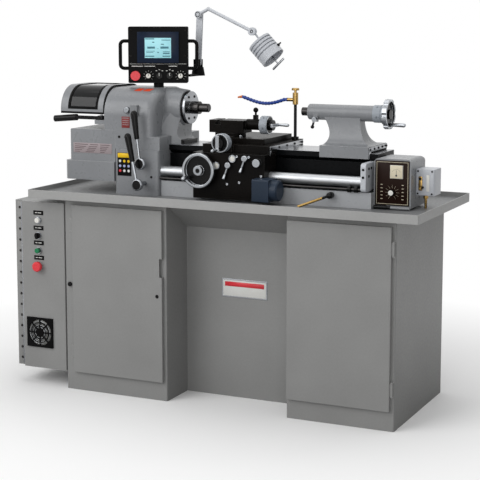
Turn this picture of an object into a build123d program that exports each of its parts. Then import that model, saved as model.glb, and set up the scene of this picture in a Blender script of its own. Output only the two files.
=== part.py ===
import os
from math import cos, radians, sin

from build123d import *

# All lengths are in millimetres. The origin is on the floor under the middle of the whole length,
# +X points to the tailstock end, -Y to the operator and +Z up.
run_clearance = 0.05
slide_clearance = 0.3
sheet = 3.0
bend_radius = 5.0
grip_neck_share = 0.7
grip_cap_share = 0.96

# Chip pan and the electrical box that reaches past its left end
pan_length = 1600.0
pan_depth = 640.0
pan_floor = 782.0
pan_lip = 18.0
pan_skirt = 12.0
electrical_reach = 108.0

# Pedestals, knee panel and doors
left_pedestal_inset = 134.0
left_pedestal_length = 451.0
knee_length = 500.0
right_pedestal_length = 418.0
pedestal_setback = 57.0
pedestal_back_gap = 10.0
knee_setback = 228.0
knee_fold_drop = 106.0
badge_length = 192.0
badge_height = 72.0
badge_bottom = 396.0
badge_proud = 2.0
door_bottom = 76.0
door_height = 668.0
door_depth = 16.0
door_lap = 20.0
left_door_inset = 40.0
left_door_length = 399.0
right_door_inset = 14.0
right_door_inset_left = 4.0
pull_bottom = 487.0
pull_height = 72.0
pull_reach = 11.0
hinge_radius = 4.5
hinge_pin_radius = 2.5
hinge_length = 46.0
hinge_setback = 7.0
hinge_drop = 80.0
ear_depth = 7.0

# Electrical box on the left end
electrical_length = 242.0
electrical_front = -247.0
electrical_depth = 250.0
electrical_bottom = 70.0
electrical_height = 675.0
electrical_frame = 36.0
electrical_rim = 12.0
electrical_door_depth = 18.0
electrical_door_gap = 3.0
piano_radius = 5.0
piano_pin_radius = 2.0
piano_pitch = 44.0
piano_knuckles = 15
piano_leaf = 2.0
control_inset = 79.0
lamp_drop = 73.0
selector_drop = 135.0
start_drop = 195.0
stop_drop = 259.0
collar_radius = 14.0
collar_depth = 6.0
stem_radius = 8.0
stem_length = 22.0
lens_radius = 10.0
start_radius = 10.5
cap_depth = 8.0
mushroom_radius = 20.0
mushroom_depth = 14.0
selector_radius = 12.0
selector_bar = 8.0
press_travel = 5.0
grille_size = 120.0
grille_drop = 529.0
grille_depth = 7.0
grille_bore_radius = 53.0
grille_hub_radius = 17.0
grille_ring_pitch = 12.0
grille_rib = 3.0
grille_spoke = 5.0
grille_spokes = 8
grille_rings = 2

# Bed
bed_inset = 498.0
bed_length = 864.0
bed_height = 195.0
bed_half_width = 90.0
bed_slab = 20.0
bed_undercut = 14.0
bed_neck_half_width = 82.0
bed_neck_height = 72.0
bed_foot_half_width = 160.0
bed_foot_height = 60.0
axis_y = 20.0
centre_height = 140.0

# Headstock
headstock_base_length = 198.0
headstock_base_height = 176.0
headstock_base_half_width = 178.0
headstock_base_round = 16.0
headstock_half_width = 170.0
headstock_overhang = 48.0
hump_length = 215.0
hump_rise = 77.0
hump_corner = 104.0
hump_round = 30.0
barrel_radius = 77.0
nose_radius = 70.0
nose_reach = 36.0
nose_taper = 52.0
shoulder_height = 52.0
flank_half_width = 118.0
web_top_half_width = 66.0
web_half_width = 58.0
foot_reach = 50.0
pad_half = 26.0
pad_sink = 8.0
foot_height = 14.0
lock_boss_gap = 16.0
lock_boss_length = 30.0
lock_boss_height = 40.0
lock_boss_proud = 10.0
ring_radius = 65.0
ring_depth = 8.0
pocket_radius = 70.0
pocket_inset = 62.0
pocket_length = 54.0
lock_inset = 106.0
lock_drop = 5.0
lock_radius = 8.0
lock_knob_radius = 13.0
lock_knob_depth = 14.0
lock_travel = 8.0

# End cover and draw-tube closer on the left of the headstock
end_cover_length = 208.0
end_cover_height = 201.0
end_cover_bottom = 48.0
end_cover_step = 75.0
end_cover_flare = 10.0
end_cover_lip = 16.0
end_cover_round = 10.0
guard_gap = 4.0
guard_length = 203.0
guard_half_width = 158.0
guard_rise = 84.0
guard_skirt = 27.0
guard_corner = 96.0
guard_wall = 4.0
window_inset = 44.0
window_length = 116.0
window_bottom = 2.0
window_wall = 2.0
window_back = 60.0
guard_pin_radius = 5.0
guard_pin_length = 74.0
guard_knuckle_radius = 9.0
guard_knuckle_length = 60.0
closer_lug_length = 44.0
closer_lug_width = 40.0
closer_lug_height = 16.0
closer_lug_drop = 65.0
closer_pin_radius = 6.0
closer_pin_height = 20.0
closer_hub_radius = 15.0
closer_hub_height = 16.0
closer_arm_length = 126.0
closer_arm_width = 20.0
closer_arm_thickness = 13.0
closer_grip_length = 90.0
closer_grip_radius = 13.0
closer_grip_drop = 9.0

# Spindle and its drive
shaft_radius = 30.0
tail_shaft_radius = 20.0
drum_radius = 33.0
drum_length = 110.0
drum_inset = 150.0
pulley_radius = 58.0
pulley_length = 32.0
flange_radius = 64.0
flange_gap = 1.0
flange_length = 9.0
nose_pin_radius = 25.0
nose_pin_length = 37.0
nose_end_radius = 17.0
nose_end_length = 41.0
nose_chamfer = 3.0
motor_radius = 85.0
motor_length = 176.0
motor_height = 150.0
motor_gap = 16.0
motor_foot_length = 130.0
motor_foot_width = 180.0
motor_shaft_radius = 14.0
motor_shaft_depth = 40.0
motor_pulley_radius = 44.0
belt_thickness = 6.0
belt_width = 26.0
belt_room = 9.0

# Gear levers on the headstock base
lever_hub_radius = 23.0
lever_hub_depth = 14.0
lever_shaft_radius = 9.0
lever_shaft_depth = 22.0
lever_arm_radius = 6.0
lever_grip_radius = 13.5
lever_grip_length = 98.0
upper_lever_inset = 66.0
upper_lever_height = 126.0
upper_lever_standoff = 24.0
upper_lever_angle = -7.0
upper_lever_arm = 97.0
lower_lever_inset = 62.0
lower_lever_height = 48.0
lower_lever_standoff = 54.0
lower_lever_angle = -12.0
lower_lever_arm = 92.0

# Carriage
carriage_inset = 187.0
carriage_length = 273.0
saddle_front = -150.0
saddle_back = 190.0
saddle_top = 18.0
saddle_skirt = 12.0
apron_overhang = 24.0
apron_front = -185.0
apron_back = -80.0
apron_step_height = 78.0
apron_step_back = -143.0
apron_clearance = 8.0
apron_cut = 26.0
apron_cut_height = 98.0
guide_room = 1.0
cross_bracket_inset = 60.0
cross_bracket_length = 70.0
cross_bracket_depth = 15.0
cross_bracket_rise = 33.0
cross_screw_inset = 95.0
cross_screw_rise = 27.0
dial_shaft_radius = 8.0
dial_radius = 35.0
dial_hub_radius = 20.0
dial_length = 32.0
dial_hub_length = 16.0
crank_half_length = 30.0
crank_width = 13.0
crank_thickness = 8.0
crank_grip_radius = 6.5
crank_grip_length = 40.0
cross_slide_inset = 40.0
cross_slide_length = 196.0
cross_slide_front = -105.0
cross_slide_depth = 270.0
cross_slide_height = 21.0
compound_inset = 56.0
compound_y = -20.0
swivel_radius = 60.0
swivel_height = 14.0
swivel_pin_radius = 14.0
swivel_pin_depth = 8.0
compound_reach = 73.0
compound_length = 146.0
compound_half_width = 42.0
compound_height = 48.0
tee_inset = 38.0
tee_width = 14.0
tee_depth = 9.0
tee_foot_width = 24.0
tee_foot_depth = 8.0
compound_screw_height = 32.0
bearing_radius = 21.0
bearing_length = 61.0
retract_inset = 34.0
retract_base = 16.0
retract_rise = 56.0
retract_stem_radius = 4.0
retract_ball_radius = 10.0
wheel_inset = 12.0
wheel_height = 116.0
wheel_radius = 67.0
wheel_rim = 10.0
wheel_dish = 5.0
wheel_hub_radius = 18.0
wheel_depth = 22.0
wheel_hub_depth = 34.0
wheel_shaft_radius = 10.0
wheel_shaft_depth = 24.0
wheel_grip_radius = 9.0
wheel_grip_length = 58.0
wheel_grip_angle = 215.0
sight_radius = 13.0
sight_depth = 6.0
left_sight_inset = 77.0
left_sight_height = 136.0
right_sight_inset = 144.0
right_sight_height = 165.0
feed_lever_hub_radius = 12.0
feed_lever_hub_depth = 18.0
feed_lever_arm = 46.0
feed_lever_radius = 4.0
feed_lever_tip = 7.0
feed_lever_angle = 200.0
left_feed_inset = 128.0
left_feed_height = 140.0
right_feed_inset = 197.0
right_feed_height = 168.0
clamp_inset = 247.0
clamp_height = 154.0
clamp_radius = 15.0
clamp_depth = 20.0
feed_motor_y = -199.0
feed_motor_height = 56.0
feed_motor_flange = 42.0
feed_motor_flange_depth = 66.0
feed_motor_radius = 39.0
feed_motor_length = 30.0
post_inset = 260.0
post_y = 140.0
post_radius = 6.0
post_base_radius = 14.0
post_base_height = 12.0
post_height = 138.0
valve_radius = 11.0
valve_height = 46.0
valve_neck_radius = 5.0
valve_knob_height = 9.0
valve_knob_radius = 15.0
valve_rise = 18.0
outlet_radius = 7.0
outlet_length = 22.0
hose_bead_radius = 7.5
hose_neck_radius = 5.5
hose_bead_pitch = 13.0
hose_beads = 15
hose_sag = 17.0
hose_rise = 2.0
hose_wave_share = 0.58
nozzle_radius = 6.0
nozzle_tip_radius = 3.0
nozzle_length = 20.0

# Guide tube, stop rod and their bracket on the front of the bed
tube_y = -125.0
tube_height = 96.0
tube_radius = 20.0
bracket_end_gap = 12.0
bracket_length = 20.0
bracket_front = -166.0
bracket_bottom = 64.0
bracket_height = 104.0
bracket_round = 14.0
stop_rod_y = -150.0
stop_rod_height = 71.0
stop_rod_radius = 4.0
stop_collar_radius = 12.0
stop_collar_length = 12.0
stop_collar_gaps = (54.0, 28.0)
pipe_radius = 5.0
pipe_run_x = -100.0
pipe_run_y = -62.0
pipe_inset = 710.0
pipe_height = 44.0
gland_radius = 12.0
gland_length = 20.0

# Tailstock
tailstock_inset = 636.0
tailstock_length = 194.0
tailstock_side = 8.0
tailstock_drop = 20.0
tailstock_base_height = 24.0
tailstock_waist_lead = 22.0
tailstock_waist_length = 154.0
tailstock_waist_height = 62.0
tailstock_waist_bow = 37.0
tailstock_half_width = 66.0
tailstock_neck_half_width = 25.0
tail_barrel_radius = 30.0
tail_barrel_lead = 80.0
tail_barrel_length = 262.0
tail_barrel_round = 4.0
tail_cap = 16.0
quill_radius = 16.0
quill_show = 28.0
quill_length = 188.0
quill_socket_radius = 9.0
quill_socket_end_radius = 7.5
quill_socket_depth = 60.0
tail_screw_radius = 8.0
tail_dial_radius = 33.0
tail_dial_length = 38.0
tail_wheel_radius = 56.0
tail_wheel_length = 18.0
tail_wheel_gap = 6.0
tail_rim = 9.0
tail_lobes = 8
tail_lobe_radius = 9.0
tail_lobe_out = 3.0
tail_grip_radius = 8.0
tail_grip_length = 60.0
quill_lock_inset = 36.0
quill_lock_drop = 26.0
quill_lock_shaft_radius = 5.0
quill_lock_hub_radius = 9.0
quill_lock_reach = 16.0
quill_lock_arm = 28.0
quill_lock_ball_radius = 7.0

# Feed-rate box and oil pump at the right end
feed_box_length = 142.0
feed_box_front = -113.0
feed_box_back = 50.0
feed_box_bottom = 7.0
feed_box_height = 178.0
feed_box_round = 18.0
meter_inset = 64.0
meter_rise = 108.0
meter_size = 48.0
meter_depth = 6.0
feed_knob_inset = 71.0
feed_knob_rise = 56.0
feed_knob_radius = 11.0
feed_knob_depth = 17.0
feed_knob_shaft_radius = 3.5
feed_knob_shaft_depth = 12.0
pump_length = 70.0
pump_front = -54.0
pump_depth = 80.0
pump_bottom = 50.0
pump_height = 96.0
pump_round = 6.0
pump_pipe_inset = 28.0
pump_pipe_y = -24.0
pump_nut_radius = 9.0
pump_nut_height = 14.0

# Swivelling control panel and its post
post_x_inset = 153.0
stand_radius = 20.0
stand_height = 17.0
stand_pin_radius = 9.0
stand_pin_height = 30.0
panel_angle = 24.5
panel_width = 236.0
panel_height = 222.0
panel_depth = 62.0
panel_round = 5.0
bezel_width = 168.0
bezel_height = 126.0
bezel_rise = 30.0
bezel_proud = 4.0
control_row = -82.0
panel_handle_radius = 7.0
panel_handle_reach = 34.0
panel_handle_half = 54.0
panel_handle_bend = 16.0
panel_stop_shift = -89.0
left_knob_shift = -38.0
right_knob_shift = 89.0
left_switch_shift = 5.0
right_switch_shift = 46.0
panel_stop_radius = 19.0
panel_knob_radius = 11.0
panel_knob_depth = 15.0
panel_stem_radius = 6.0
panel_stem_depth = 10.0

# Work lamp
lamp_arm_thickness = 8.0
lamp_bar_width = 30.0
lamp_bar_reach = 98.0
lamp_y = 186.0
lamp_x_shift = 92.0
lamp_base_radius = 28.0
lamp_base_bottom = 117.0
lamp_base_height = 34.0
lamp_fork_gap = 14.0
lamp_pin_radius = 4.0
lamp_arm_width = 32.0
lamp_lower_rise = 196.0
lamp_lower_lean = 9.0
lamp_knob_radius = 14.0
lamp_knob_depth = 16.0
lamp_tube_radius = 7.0
lamp_elbow_radius = 8.0
lamp_bend_x = 44.0
lamp_bend_z = 22.0
lamp_upper_x = 238.0
lamp_upper_z = -66.0
lamp_eye_radius = 16.0
lamp_head_x = 30.0
lamp_head_z = -40.0
lamp_head_angle = 46.0
lamp_head_radius = 50.0
lamp_head_length = 90.0
lamp_fin_radius = 43.0
lamp_fin_pitch = 14.0
lamp_fin_gap = 5.0
lamp_fins = 4
lamp_bowl_depth = 22.0
lamp_wall = 4.0
lamp_neck_radius = 13.0

# Derived places along X
pan_mid = electrical_reach / 2
pan_left = pan_mid - pan_length / 2
pan_right = pan_mid + pan_length / 2
left_pedestal_left = pan_left + left_pedestal_inset
pedestal_front = pedestal_setback - pan_depth / 2
pedestal_back = pan_depth / 2 - pedestal_back_gap
knee_front = knee_setback - pan_depth / 2
left_pedestal_right = left_pedestal_left + left_pedestal_length
right_pedestal_left = left_pedestal_right + knee_length
right_pedestal_right = right_pedestal_left + right_pedestal_length
left_door_left = left_pedestal_left + left_door_inset
left_door_right = left_door_left + left_door_length
right_door_left = right_pedestal_left + right_door_inset_left
right_door_right = right_pedestal_right - right_door_inset
electrical_right = left_pedestal_left
electrical_left = electrical_right - electrical_length
bed_left = pan_left + bed_inset
bed_right = bed_left + bed_length
base_left = bed_left - headstock_base_length
headstock_left = base_left - headstock_overhang
hump_right = headstock_left + hump_length
nose_right = bed_left + nose_reach
ring_right = nose_right + ring_depth
guard_right = headstock_left - guard_gap
guard_left = guard_right - guard_length
pulley_mid = headstock_left + pocket_inset + pocket_length / 2
flange_left = ring_right + flange_gap
flange_right = flange_left + flange_length
carriage_left = bed_left + carriage_inset
carriage_right = carriage_left + carriage_length
compound_x = carriage_left + compound_inset
tailstock_left = bed_left + tailstock_inset
tailstock_right = tailstock_left + tailstock_length
tail_barrel_left = tailstock_left - tail_barrel_lead
tail_barrel_right = tail_barrel_left + tail_barrel_length
feed_box_left = bed_right
feed_box_right = feed_box_left + feed_box_length
stand_x = headstock_left + post_x_inset
lamp_x = stand_x + lamp_x_shift

# Derived heights
pan_under = pan_floor - sheet
pan_top = pan_floor + pan_lip
pan_bottom = pan_under - pan_skirt
knee_height = pan_bottom - knee_fold_drop
door_top = door_bottom + door_height
bed_top = pan_floor + bed_height
axis_z = bed_top + centre_height
split_z = pan_floor + headstock_base_height
hump_top = axis_z + hump_rise
shoulder_z = split_z + shoulder_height
cover_bottom = pan_floor + end_cover_bottom
cover_top = cover_bottom + end_cover_height
guard_bottom = axis_z - guard_skirt
guard_top = axis_z + guard_rise
electrical_top = electrical_bottom + electrical_height
saddle_z = bed_top + saddle_top
cross_z = saddle_z + slide_clearance
cross_top = cross_z + cross_slide_height
swivel_z = cross_top + slide_clearance
swivel_top = swivel_z + swivel_height
compound_z = swivel_top + slide_clearance
compound_top = compound_z + compound_height
apron_top = bed_top - saddle_skirt
tube_z = pan_floor + tube_height
panel_z = hump_top + stand_height + slide_clearance
gear_face = axis_y - headstock_base_half_width


# A box, or a round bar along one axis, between named limits
def block(x, y, z, mode=Mode.ADD):
    middle = ((x[0] + x[1]) / 2, (y[0] + y[1]) / 2, (z[0] + z[1]) / 2)
    with Locations(middle):
        Box(x[1] - x[0], y[1] - y[0], z[1] - z[0], mode=mode)


def rod_x(x, y, z, radius, mode=Mode.ADD):
    with Locations(((x[0] + x[1]) / 2, y, z)):
        Cylinder(radius, x[1] - x[0], rotation=(0, 90, 0), mode=mode)


def rod_y(x, y, z, radius, mode=Mode.ADD):
    with Locations((x, (y[0] + y[1]) / 2, z)):
        Cylinder(radius, y[1] - y[0], rotation=(90, 0, 0), mode=mode)


def rod_z(x, y, z, radius, mode=Mode.ADD):
    with Locations((x, y, (z[0] + z[1]) / 2)):
        Cylinder(radius, z[1] - z[0], mode=mode)


def rod_between(start, end, radius, end_radius=None):
    along = Vector(end) - Vector(start)
    base = (Align.CENTER, Align.CENTER, Align.MIN)
    with Locations(Plane(origin=start, z_dir=along).location):
        if end_radius is None:
            Cylinder(radius, along.length, align=base)
        else:
            Cone(radius, end_radius, along.length, align=base)


def ball(centre, radius):
    with Locations(centre):
        Sphere(radius)


def grip(start, end, radius):
    rod_between(start, end, radius * grip_neck_share, radius)
    ball(end, radius * grip_cap_share)


os.makedirs("parts", exist_ok=True)


def save(piece, name):
    piece.label = name
    export_step(piece, f"parts/{name}.step")


# Pedestals
left_axis_x = left_door_left - hinge_setback
right_axis_x = right_door_right + hinge_setback
door_back = pedestal_front - slide_clearance
door_front = door_back - door_depth
hinge_y = pedestal_front - ear_depth
hinge_heights = (door_bottom + hinge_drop, door_top - hinge_drop)


def pedestal(left, right, door, hinge_x):
    with BuildPart() as shell:
        block((left, right), (pedestal_front, pedestal_back), (0, pan_under))
        fillet(shell.edges().filter_by(Axis.Z), bend_radius)
        block(
            (left + sheet, right - sheet),
            (pedestal_front + sheet, pedestal_back - sheet),
            (sheet, pan_under - sheet),
            Mode.SUBTRACT,
        )
        block(
            (door[0] + door_lap, door[1] - door_lap),
            (pedestal_front, pedestal_front + sheet),
            (door_bottom + door_lap, door_top - door_lap),
            Mode.SUBTRACT,
        )
        for height in hinge_heights:
            low = height - hinge_length / 2
            high = height + hinge_length / 2
            ear = hinge_radius + slide_clearance
            for z in ((low - ear, low - slide_clearance), (high + slide_clearance, high + ear)):
                block(
                    (hinge_x - hinge_radius, hinge_x + hinge_radius),
                    (hinge_y - hinge_radius, pedestal_front),
                    z,
                )
            rod_z(hinge_x, hinge_y, (low - ear, high + ear), hinge_pin_radius)
    return shell.part


left_shell = pedestal(
    left_pedestal_left, left_pedestal_right, (left_door_left, left_door_right), left_axis_x
)
belt_slot_x = (pulley_mid - belt_width / 2 - belt_room, pulley_mid + belt_width / 2 + belt_room)
belt_slot_half = pulley_radius + belt_thickness + belt_room
belt_slot_y = (axis_y - belt_slot_half, axis_y + belt_slot_half)
with BuildPart() as left_pedestal:
    add(left_shell)
    block(belt_slot_x, belt_slot_y, (pan_under - sheet, pan_under), Mode.SUBTRACT)
save(left_pedestal.part, "left_pedestal")

right_shell = pedestal(
    right_pedestal_left, right_pedestal_right, (right_door_left, right_door_right), right_axis_x
)
save(right_shell, "right_pedestal")

# Folded knee panel between the pedestals, with its bare badge plate
with BuildPart() as knee_panel:
    with BuildSketch(Plane.YZ.offset(left_pedestal_right)):
        with BuildLine():
            Polyline(
                (knee_front, 0),
                (knee_front, knee_height),
                (pedestal_front, pan_bottom),
                (pedestal_front + sheet, pan_bottom),
                (knee_front + sheet, knee_height + sheet / 2),
                (knee_front + sheet, 0),
                close=True,
            )
        make_face()
    extrude(amount=knee_length)
    badge_left = (left_pedestal_right + right_pedestal_left - badge_length) / 2
    block(
        (badge_left, badge_left + badge_length),
        (knee_front - badge_proud, knee_front),
        (badge_bottom, badge_bottom + badge_height),
    )
    block(
        (left_pedestal_right, right_pedestal_left),
        (pedestal_front, pedestal_front + sheet),
        (pan_bottom, pan_under),
    )
save(knee_panel.part, "knee_panel")


# Cabinet doors: shallow folded pans with hinge knuckles
def cabinet_door(left, right, hinge_x, edge):
    with BuildPart() as door:
        block((left, right), (door_front, door_back), (door_bottom, door_top))
        fillet(door.edges().filter_by(Axis.Z), bend_radius / 2)
        block(
            (left + sheet, right - sheet),
            (door_front + sheet, door_back),
            (door_bottom + sheet, door_top - sheet),
            Mode.SUBTRACT,
        )
        for height in hinge_heights:
            z = (height - hinge_length / 2, height + hinge_length / 2)
            block(
                (min(hinge_x, edge), max(hinge_x, edge)),
                (hinge_y - hinge_radius, hinge_y + hinge_radius / 2),
                z,
            )
            rod_z(hinge_x, hinge_y, z, hinge_radius)
            rod_z(hinge_x, hinge_y, z, hinge_pin_radius + run_clearance, Mode.SUBTRACT)
    return door.part


left_door_shell = cabinet_door(left_door_left, left_door_right, left_axis_x, left_door_left)
with BuildPart() as left_door:
    add(left_door_shell)
    block(
        (left_door_right - pull_reach, left_door_right),
        (door_front, door_back),
        (pull_bottom, pull_bottom + pull_height),
        Mode.SUBTRACT,
    )
save(left_door.part, "left_door")
save(cabinet_door(right_door_left, right_door_right, right_axis_x, right_door_right), "right_door")

# Chip pan
with BuildPart() as chip_pan:
    block((pan_left, pan_right), (-pan_depth / 2, pan_depth / 2), (pan_bottom, pan_top))
    fillet(chip_pan.edges().filter_by(Axis.Z), bend_radius)
    inner_x = (pan_left + sheet, pan_right - sheet)
    inner_y = (sheet - pan_depth / 2, pan_depth / 2 - sheet)
    block(inner_x, inner_y, (pan_floor, pan_top), Mode.SUBTRACT)
    block(inner_x, inner_y, (pan_bottom, pan_under), Mode.SUBTRACT)
    block(belt_slot_x, belt_slot_y, (pan_under, pan_floor), Mode.SUBTRACT)
save(chip_pan.part, "chip_pan")

# Electrical box with half of its piano hinge
piano_x = electrical_left + electrical_frame
piano_y = electrical_front - piano_radius - piano_leaf
piano_low = electrical_bottom + (electrical_height - piano_knuckles * piano_pitch) / 2
electrical_door_left = piano_x + piano_radius + slide_clearance
electrical_door_right = electrical_right - electrical_door_gap
electrical_back = electrical_front + electrical_depth


def piano_knuckle(count):
    low = piano_low + count * piano_pitch
    return (low, low + piano_pitch - slide_clearance)


with BuildPart() as electrical_box:
    block(
        (electrical_left, electrical_right),
        (electrical_front, electrical_back),
        (electrical_bottom, electrical_top),
    )
    fillet(electrical_box.edges().filter_by(Axis.Z), bend_radius / 2)
    block(
        (electrical_left + sheet, electrical_right - sheet),
        (electrical_front + sheet, electrical_back - sheet),
        (electrical_bottom + sheet, electrical_top - sheet),
        Mode.SUBTRACT,
    )
    block(
        (electrical_left + electrical_frame + electrical_rim, electrical_right - electrical_rim),
        (electrical_front, electrical_front + sheet),
        (electrical_bottom + electrical_rim, electrical_top - electrical_rim),
        Mode.SUBTRACT,
    )
    for count in range(0, piano_knuckles, 2):
        z = piano_knuckle(count)
        rod_z(piano_x, piano_y, z, piano_radius)
        block((piano_x - piano_radius, piano_x), (piano_y, electrical_front), z)
    rod_z(piano_x, piano_y, (piano_low, piano_knuckle(piano_knuckles - 1)[1]), piano_pin_radius)
save(electrical_box.part, "electrical_box")

# Electrical door with the other knuckles, the pilot lamp and the control collars
electrical_door_back = electrical_front - slide_clearance
electrical_door_front = electrical_door_back - electrical_door_depth
control_x = electrical_door_left + control_inset
selector_z = electrical_top - selector_drop
start_z = electrical_top - start_drop
stop_z = electrical_top - stop_drop
grille_z = electrical_top - grille_drop
collar_front = electrical_door_front - collar_depth
with BuildPart() as electrical_door:
    block(
        (electrical_door_left, electrical_door_right),
        (electrical_door_front, electrical_door_back),
        (electrical_bottom, electrical_top),
    )
    fillet(electrical_door.edges().filter_by(Axis.Z), bend_radius / 2)
    block(
        (electrical_door_left + sheet, electrical_door_right - sheet),
        (electrical_door_front + sheet, electrical_door_back),
        (electrical_bottom + sheet, electrical_top - sheet),
        Mode.SUBTRACT,
    )
    for count in range(1, piano_knuckles, 2):
        z = piano_knuckle(count)
        rod_z(piano_x, piano_y, z, piano_radius)
        block((piano_x, electrical_door_left), (piano_y - piano_radius, piano_y), z)
        rod_z(piano_x, piano_y, z, piano_pin_radius + run_clearance, Mode.SUBTRACT)
    for z in (selector_z, start_z, stop_z):
        rod_y(control_x, (collar_front, electrical_door_front), z, collar_radius)
        rod_y(
            control_x,
            (collar_front, electrical_door_back),
            z,
            stem_radius + run_clearance,
            Mode.SUBTRACT,
        )
    lamp_height = electrical_top - lamp_drop
    rod_y(control_x, (collar_front, electrical_door_front), lamp_height, collar_radius)
    rod_y(control_x, (collar_front - cap_depth, collar_front), lamp_height, lens_radius)
    rod_y(
        control_x,
        (electrical_door_front, electrical_door_back),
        grille_z,
        grille_bore_radius,
        Mode.SUBTRACT,
    )
save(electrical_door.part, "electrical_door")

with BuildPart() as fan_grille:
    with BuildSketch(Plane.XZ.offset(-electrical_door_front)):
        with Locations((control_x, grille_z)):
            Rectangle(grille_size, grille_size)
            Circle(grille_bore_radius, mode=Mode.SUBTRACT)
            Circle(grille_hub_radius)
            for ring in range(grille_rings):
                rib_radius = grille_hub_radius + (ring + 1) * grille_ring_pitch
                with BuildSketch(mode=Mode.PRIVATE) as rib:
                    Circle(rib_radius)
                    Circle(rib_radius - grille_rib, mode=Mode.SUBTRACT)
                add(rib.sketch)
            with PolarLocations(0, grille_spokes // 2, angular_range=180):
                Rectangle(2 * grille_bore_radius + grille_rib, grille_spoke)
    extrude(amount=grille_depth)
save(fan_grille.part, "fan_grille")


def push_button(radius, depth, z):
    with BuildPart() as button:
        rod_y(control_x, (collar_front, collar_front + stem_length), z, stem_radius)
        stand = collar_front - press_travel
        rod_y(control_x, (stand, collar_front), z, stem_radius)
        rod_y(control_x, (stand - depth, stand), z, radius)
        chamfer(button.edges().group_by(Axis.Y)[0], depth / 4)
    return button.part


save(push_button(mushroom_radius, mushroom_depth, stop_z), "door_stop_button")
save(push_button(start_radius, cap_depth, start_z), "start_button")

with BuildPart() as door_selector:
    knob_back = collar_front - slide_clearance
    rod_y(control_x, (knob_back, collar_front + stem_length), selector_z, stem_radius)
    rod_y(control_x, (knob_back - cap_depth, knob_back), selector_z, selector_radius)
    block(
        (control_x - selector_bar / 2, control_x + selector_bar / 2),
        (knob_back - 2 * cap_depth, knob_back - cap_depth),
        (selector_z - selector_radius, selector_z + selector_radius),
    )
save(door_selector.part, "door_selector")

# Bed: one casting of constant section
with BuildPart() as bed:
    with BuildSketch(Plane.YZ.offset(bed_left)):
        with BuildLine():
            half_section = (
                (bed_foot_half_width, pan_floor),
                (bed_foot_half_width, pan_floor + bed_foot_height),
                (bed_neck_half_width, pan_floor + bed_neck_height),
                (bed_neck_half_width, bed_top - bed_slab - bed_undercut),
                (bed_neck_half_width - bed_undercut, bed_top - bed_slab - bed_undercut),
                (bed_half_width, bed_top - bed_slab),
                (bed_half_width, bed_top),
            )
            right_side = [(axis_y + half, z) for half, z in half_section]
            left_side = [(axis_y - half, z) for half, z in reversed(half_section)]
            Polyline(*right_side, *left_side, close=True)
        make_face()
    extrude(amount=bed_length)
save(bed.part, "bed")

# Headstock base with the two gear-lever bores
upper_lever_x = bed_left - upper_lever_inset
upper_lever_z = pan_floor + upper_lever_height
lower_lever_x = bed_left - lower_lever_inset
lower_lever_z = pan_floor + lower_lever_height
with BuildPart() as headstock_base:
    block(
        (base_left, bed_left),
        (gear_face, axis_y + headstock_base_half_width),
        (pan_floor, split_z),
    )
    fillet(headstock_base.edges().filter_by(Axis.Z), headstock_base_round)
    block(belt_slot_x, belt_slot_y, (pan_floor, split_z), Mode.SUBTRACT)
    for x, z in ((upper_lever_x, upper_lever_z), (lower_lever_x, lower_lever_z)):
        bore = lever_shaft_radius + run_clearance
        rod_y(x, (gear_face, gear_face + lever_shaft_depth), z, bore, Mode.SUBTRACT)
save(headstock_base.part, "headstock_base")

# Upper headstock: broad hump, bearing barrel, swept web and the black bearing ring
headstock_front = axis_y - headstock_half_width
headstock_back = axis_y + headstock_half_width
lock_x = headstock_left + lock_inset
lock_z = axis_z - lock_drop
closer_lug_z = axis_z - closer_lug_drop
closer_x = headstock_left - closer_lug_length + closer_lug_width / 2
closer_y = headstock_front + closer_lug_width / 2
guard_pin_y = axis_y + guard_half_width + guard_knuckle_radius
web_left = hump_right - hump_round
web_toe = bed_left + foot_reach
web_top = axis_z - nose_radius / 2
with BuildPart() as headstock_web:
    with BuildSketch(Plane.XZ.offset(-axis_y)):
        with BuildLine():
            Polyline(
                (nose_right, web_top),
                (nose_right, axis_z),
                (web_left, axis_z),
                (web_left, bed_top),
                (web_toe, bed_top),
                (web_toe, bed_top + foot_height),
            )
            Bezier((web_toe, bed_top + foot_height), (bed_left, bed_top + foot_height), (nose_right, web_top))
        make_face()
    extrude(amount=flank_half_width, both=True)
    with BuildSketch(Plane.YZ.offset(web_left)):
        with BuildLine():
            Polyline(
                (axis_y - flank_half_width, bed_top),
                (axis_y - web_top_half_width, axis_z),
                (axis_y + web_top_half_width, axis_z),
                (axis_y + flank_half_width, bed_top),
                close=True,
            )
        make_face()
    extrude(amount=web_toe - web_left, mode=Mode.INTERSECT)
    with BuildSketch(Plane.XY.offset(bed_top)):
        with BuildLine():
            front = axis_y - web_half_width
            back = axis_y + web_half_width
            Line((web_left, axis_y + flank_half_width), (web_left, axis_y - flank_half_width))
            Bezier((web_left, axis_y - flank_half_width), (bed_left, front), (web_toe, front))
            Line((web_toe, front), (web_toe, back))
            Bezier((web_toe, back), (bed_left, back), (web_left, axis_y + flank_half_width))
        make_face()
    extrude(amount=axis_z - bed_top, mode=Mode.INTERSECT)

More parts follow.
